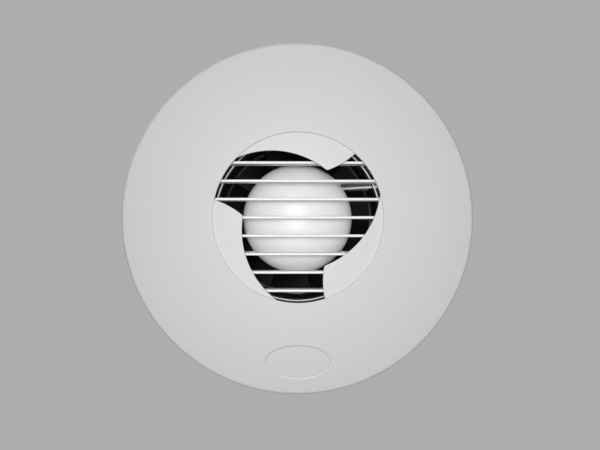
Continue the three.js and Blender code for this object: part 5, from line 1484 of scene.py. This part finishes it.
# Each lamp's width and height, where it stands, and where it points.
LAMPS = {
    "front": ((0.14, 0.14), (-0.015, -0.95, 0.035), (0, 0, 0)),
    "strip": ((0.05, 0.6), (-0.02, -0.75, 0), (0, 0, 0)),
    "top": ((1.2, 1.2), (0.2, -0.6, 1.7), (0, 0, 0)),
    "back": ((2.0, 1.6), (-0.6, 1.5, 0.9), (0, 0.03, 0)),
}


def plain_surface(name, tone, shown):
    """Quiet matt paper, a share of which shows a camera or a gloss the tone as it is written."""
    finish = Finish(name)
    cloud = finish.noise(3, detail=2)
    base = finish.between(tone, 0.985, 1.015, cloud)
    paper = finish.shader(base, 0.9 + (cloud - 0.5) * 0.04)
    rays = ("Is Camera Ray", "Is Glossy Ray", "Is Transmission Ray")
    camera, gloss, glass = [finish.node("ShaderNodeLightPath", output=ray) for ray in rays]
    glow = finish.node("ShaderNodeEmission", None, {"Color": (*tone, 1), "Strength": 1.0})
    share = (camera + gloss + glass) * shown
    return finish.ended(finish.node("ShaderNodeMixShader", None, {0: share, 1: paper, 2: glow}))


def aimed(thing, place, target):
    """Stands a lamp or camera at a place, and points it at another."""
    thing.location = place
    thing.rotation_euler = (Vector(target) - Vector(place)).to_track_quat("-Z", "Y").to_euler()


def area_light(name, strength, size, place, target):
    """A soft lamp that no camera sees."""
    data = bpy.data.lights.new(name, "AREA")
    data.shape = "RECTANGLE"
    data.size, data.size_y = size
    data.energy = strength
    lamp = linked(name, data)
    lamp.visible_camera = False
    aimed(lamp, place, target)


def build_papers(tone):
    """The floor and the backdrop."""
    sides = [(-STAGE_REACH, -STAGE_REACH), (STAGE_REACH, -STAGE_REACH), (STAGE_REACH, STAGE_REACH)]
    sides.append((-STAGE_REACH, STAGE_REACH))
    floor = [(x, y, FLOOR_LEVEL) for x, y in sides]
    upright_edges = ((-1, FLOOR_LEVEL), (1, FLOOR_LEVEL), (1, BACKDROP_TOP), (-1, BACKDROP_TOP))
    wall = [(side * STAGE_REACH, BACKDROP_PLACE, z) for side, z in upright_edges]
    for name, shown, corners in (("floor", FLOOR_SHOWN, floor), ("backdrop", BACKDROP_SHOWN, wall)):
        mesh = bpy.data.meshes.new(name)
        mesh.from_pydata(corners, [], [(0, 1, 2, 3)])
        mesh.materials.append(plain_surface(f"studio_{name}", tone, shown))
        linked(name, mesh)


def build_stage():
    studio = bpy.context.scene.fan_studio
    build_papers(tuple(studio.backdrop))
    world = bpy.data.worlds.new("studio")
    bpy.context.scene.world = world
    world.use_nodes = True
    light = world.node_tree.nodes["Background"]
    light.inputs["Color"].default_value = (1, 1, 1, 1)
    light.inputs["Strength"].default_value = studio.fill
    level = studio.distance * math.cos(studio.elevation)
    away = (level * math.sin(studio.azimuth), -level * math.cos(studio.azimuth))
    eye = Vector(studio.aim) + Vector((*away, studio.distance * math.sin(studio.elevation)))
    lens = bpy.data.cameras.new("camera")
    lens.lens = studio.focal
    lens.sensor_width = SENSOR_WIDTH
    lens.clip_start = NEAR_CLIP
    camera = linked("camera", lens)
    aimed(camera, eye, studio.aim)
    bpy.context.scene.camera = camera
    for name, setting in LAMPS.items():
        area_light(name, getattr(studio, name), *setting)
    bpy.context.scene.view_settings.view_transform = "Standard"


# ---- operators ----------------------------------------------------------------------------------------
class FAN_OT_cover(bpy.types.Operator):
    """Add the domed disc cover with the recess for its oval"""

    bl_idname = "fan.cover"
    bl_label = "Add Cover"
    bl_options = {"REGISTER", "UNDO"}

    def execute(self, context):
        build_cover()
        return {"FINISHED"}


class FAN_OT_badge(bpy.types.Operator):
    """Add the bare oval plate in the cover's recess"""

    bl_idname = "fan.badge"
    bl_label = "Add Bare Oval"
    bl_options = {"REGISTER", "UNDO"}

    def execute(self, context):
        build_badge()
        return {"FINISHED"}


class FAN_OT_leaves(bpy.types.Operator):
    """Add the three iris leaves and their pivots"""

    bl_idname = "fan.leaves"
    bl_label = "Add Iris Leaves"
    bl_options = {"REGISTER", "UNDO"}

    def execute(self, context):
        build_leaves()
        return {"FINISHED"}


class FAN_OT_drive(bpy.types.Operator):
    """Add the toothed drive ring and its pinion"""

    bl_idname = "fan.drive"
    bl_label = "Add Iris Drive"
    bl_options = {"REGISTER", "UNDO"}

    def execute(self, context):
        build_drive()
        return {"FINISHED"}


class FAN_OT_carrier(bpy.types.Operator):
    """Add the plate that carries the leaves, ring and grille"""

    bl_idname = "fan.carrier"
    bl_label = "Add Iris Carrier"
    bl_options = {"REGISTER", "UNDO"}

    def execute(self, context):
        build_carrier()
        return {"FINISHED"}


class FAN_OT_grille(bpy.types.Operator):
    """Add the slatted inlet grille"""

    bl_idname = "fan.grille"
    bl_label = "Add Inlet Grille"
    bl_options = {"REGISTER", "UNDO"}

    def execute(self, context):
        build_grille()
        return {"FINISHED"}


class FAN_OT_nose(bpy.types.Operator):
    """Add the motor's domed nose"""

    bl_idname = "fan.nose"
    bl_label = "Add Motor Nose"
    bl_options = {"REGISTER", "UNDO"}

    def execute(self, context):
        build_nose()
        return {"FINISHED"}


class FAN_OT_support(bpy.types.Operator):
    """Add the motor pod with its arms, cable channel and sleeve"""

    bl_idname = "fan.support"
    bl_label = "Add Motor Support"
    bl_options = {"REGISTER", "UNDO"}

    def execute(self, context):
        build_support()
        return {"FINISHED"}


class FAN_OT_housing(bpy.types.Operator):
    """Add the mounting plate, barrel and spigot with gasket and grommet"""

    bl_idname = "fan.housing"
    bl_label = "Add Duct Housing"
    bl_options = {"REGISTER", "UNDO"}

    def execute(self, context):
        build_housing()
        return {"FINISHED"}


class FAN_OT_impeller(bpy.types.Operator):
    """Add the impeller with its shaft and nut"""

    bl_idname = "fan.impeller"
    bl_label = "Add Impeller"
    bl_options = {"REGISTER", "UNDO"}

    def execute(self, context):
        build_impeller()
        return {"FINISHED"}


class FAN_OT_screws(bpy.types.Operator):
    """Add the slotted screws"""

    bl_idname = "fan.screws"
    bl_label = "Add Screws"
    bl_options = {"REGISTER", "UNDO"}

    def execute(self, context):
        build_screws()
        return {"FINISHED"}


class FAN_OT_electrics(bpy.types.Operator):
    """Add the board, terminals, clamp and iris motor"""

    bl_idname = "fan.electrics"
    bl_label = "Add Electrics"
    bl_options = {"REGISTER", "UNDO"}

    def execute(self, context):
        build_electrics()
        return {"FINISHED"}


class FAN_OT_motor(bpy.types.Operator):
    """Give the fan motor's inner pieces their finishes"""

    bl_idname = "fan.motor"
    bl_label = "Finish Fan Motor"
    bl_options = {"REGISTER", "UNDO"}

    def execute(self, context):
        finish_plain_nodes()
        return {"FINISHED"}


class FAN_OT_stage(bpy.types.Operator):
    """Add the floor, backdrop, lights and camera"""

    bl_idname = "fan.stage"
    bl_label = "Add Stage"
    bl_options = {"REGISTER", "UNDO"}

    def execute(self, context):
        build_stage()
        return {"FINISHED"}


OPERATORS = (
    FAN_OT_cover, FAN_OT_badge, FAN_OT_leaves, FAN_OT_drive, FAN_OT_carrier, FAN_OT_grille,
    FAN_OT_nose, FAN_OT_support, FAN_OT_housing, FAN_OT_impeller, FAN_OT_screws, FAN_OT_electrics,
    FAN_OT_motor, FAN_OT_stage,
)


class FAN_PT_panel(bpy.types.Panel):
    """The fan's pieces, edges, colours and studio"""

    bl_label = "Exhaust Fan"
    bl_space_type = "VIEW_3D"
    bl_region_type = "UI"
    bl_category = "Exhaust Fan"

    def draw(self, context):
        for group in (context.scene.fan_edges, context.scene.fan_colours, context.scene.fan_studio):
            box = self.layout.box()
            for name in group.__annotations__:
                box.prop(group, name)
        for item in OPERATORS:
            self.layout.operator(item.bl_idname)


GROUPS = {"fan_edges": FanEdges, "fan_colours": FanColours, "fan_studio": FanStudio}


def register():
    for item in (*GROUPS.values(), *OPERATORS, FAN_PT_panel):
        bpy.utils.register_class(item)
    for name, group in GROUPS.items():
        setattr(bpy.types.Scene, name, PointerProperty(type=group))


def unregister():
    for name in GROUPS:
        delattr(bpy.types.Scene, name)
    for item in reversed((*GROUPS.values(), *OPERATORS, FAN_PT_panel)):
        bpy.utils.unregister_class(item)


def main():
    register()
    for item in OPERATORS:
        kind, name = item.bl_idname.split(".")
        getattr(getattr(bpy.ops, kind), name)()
    bpy.context.view_layer.update()


if __name__ == "__main__":
    main()
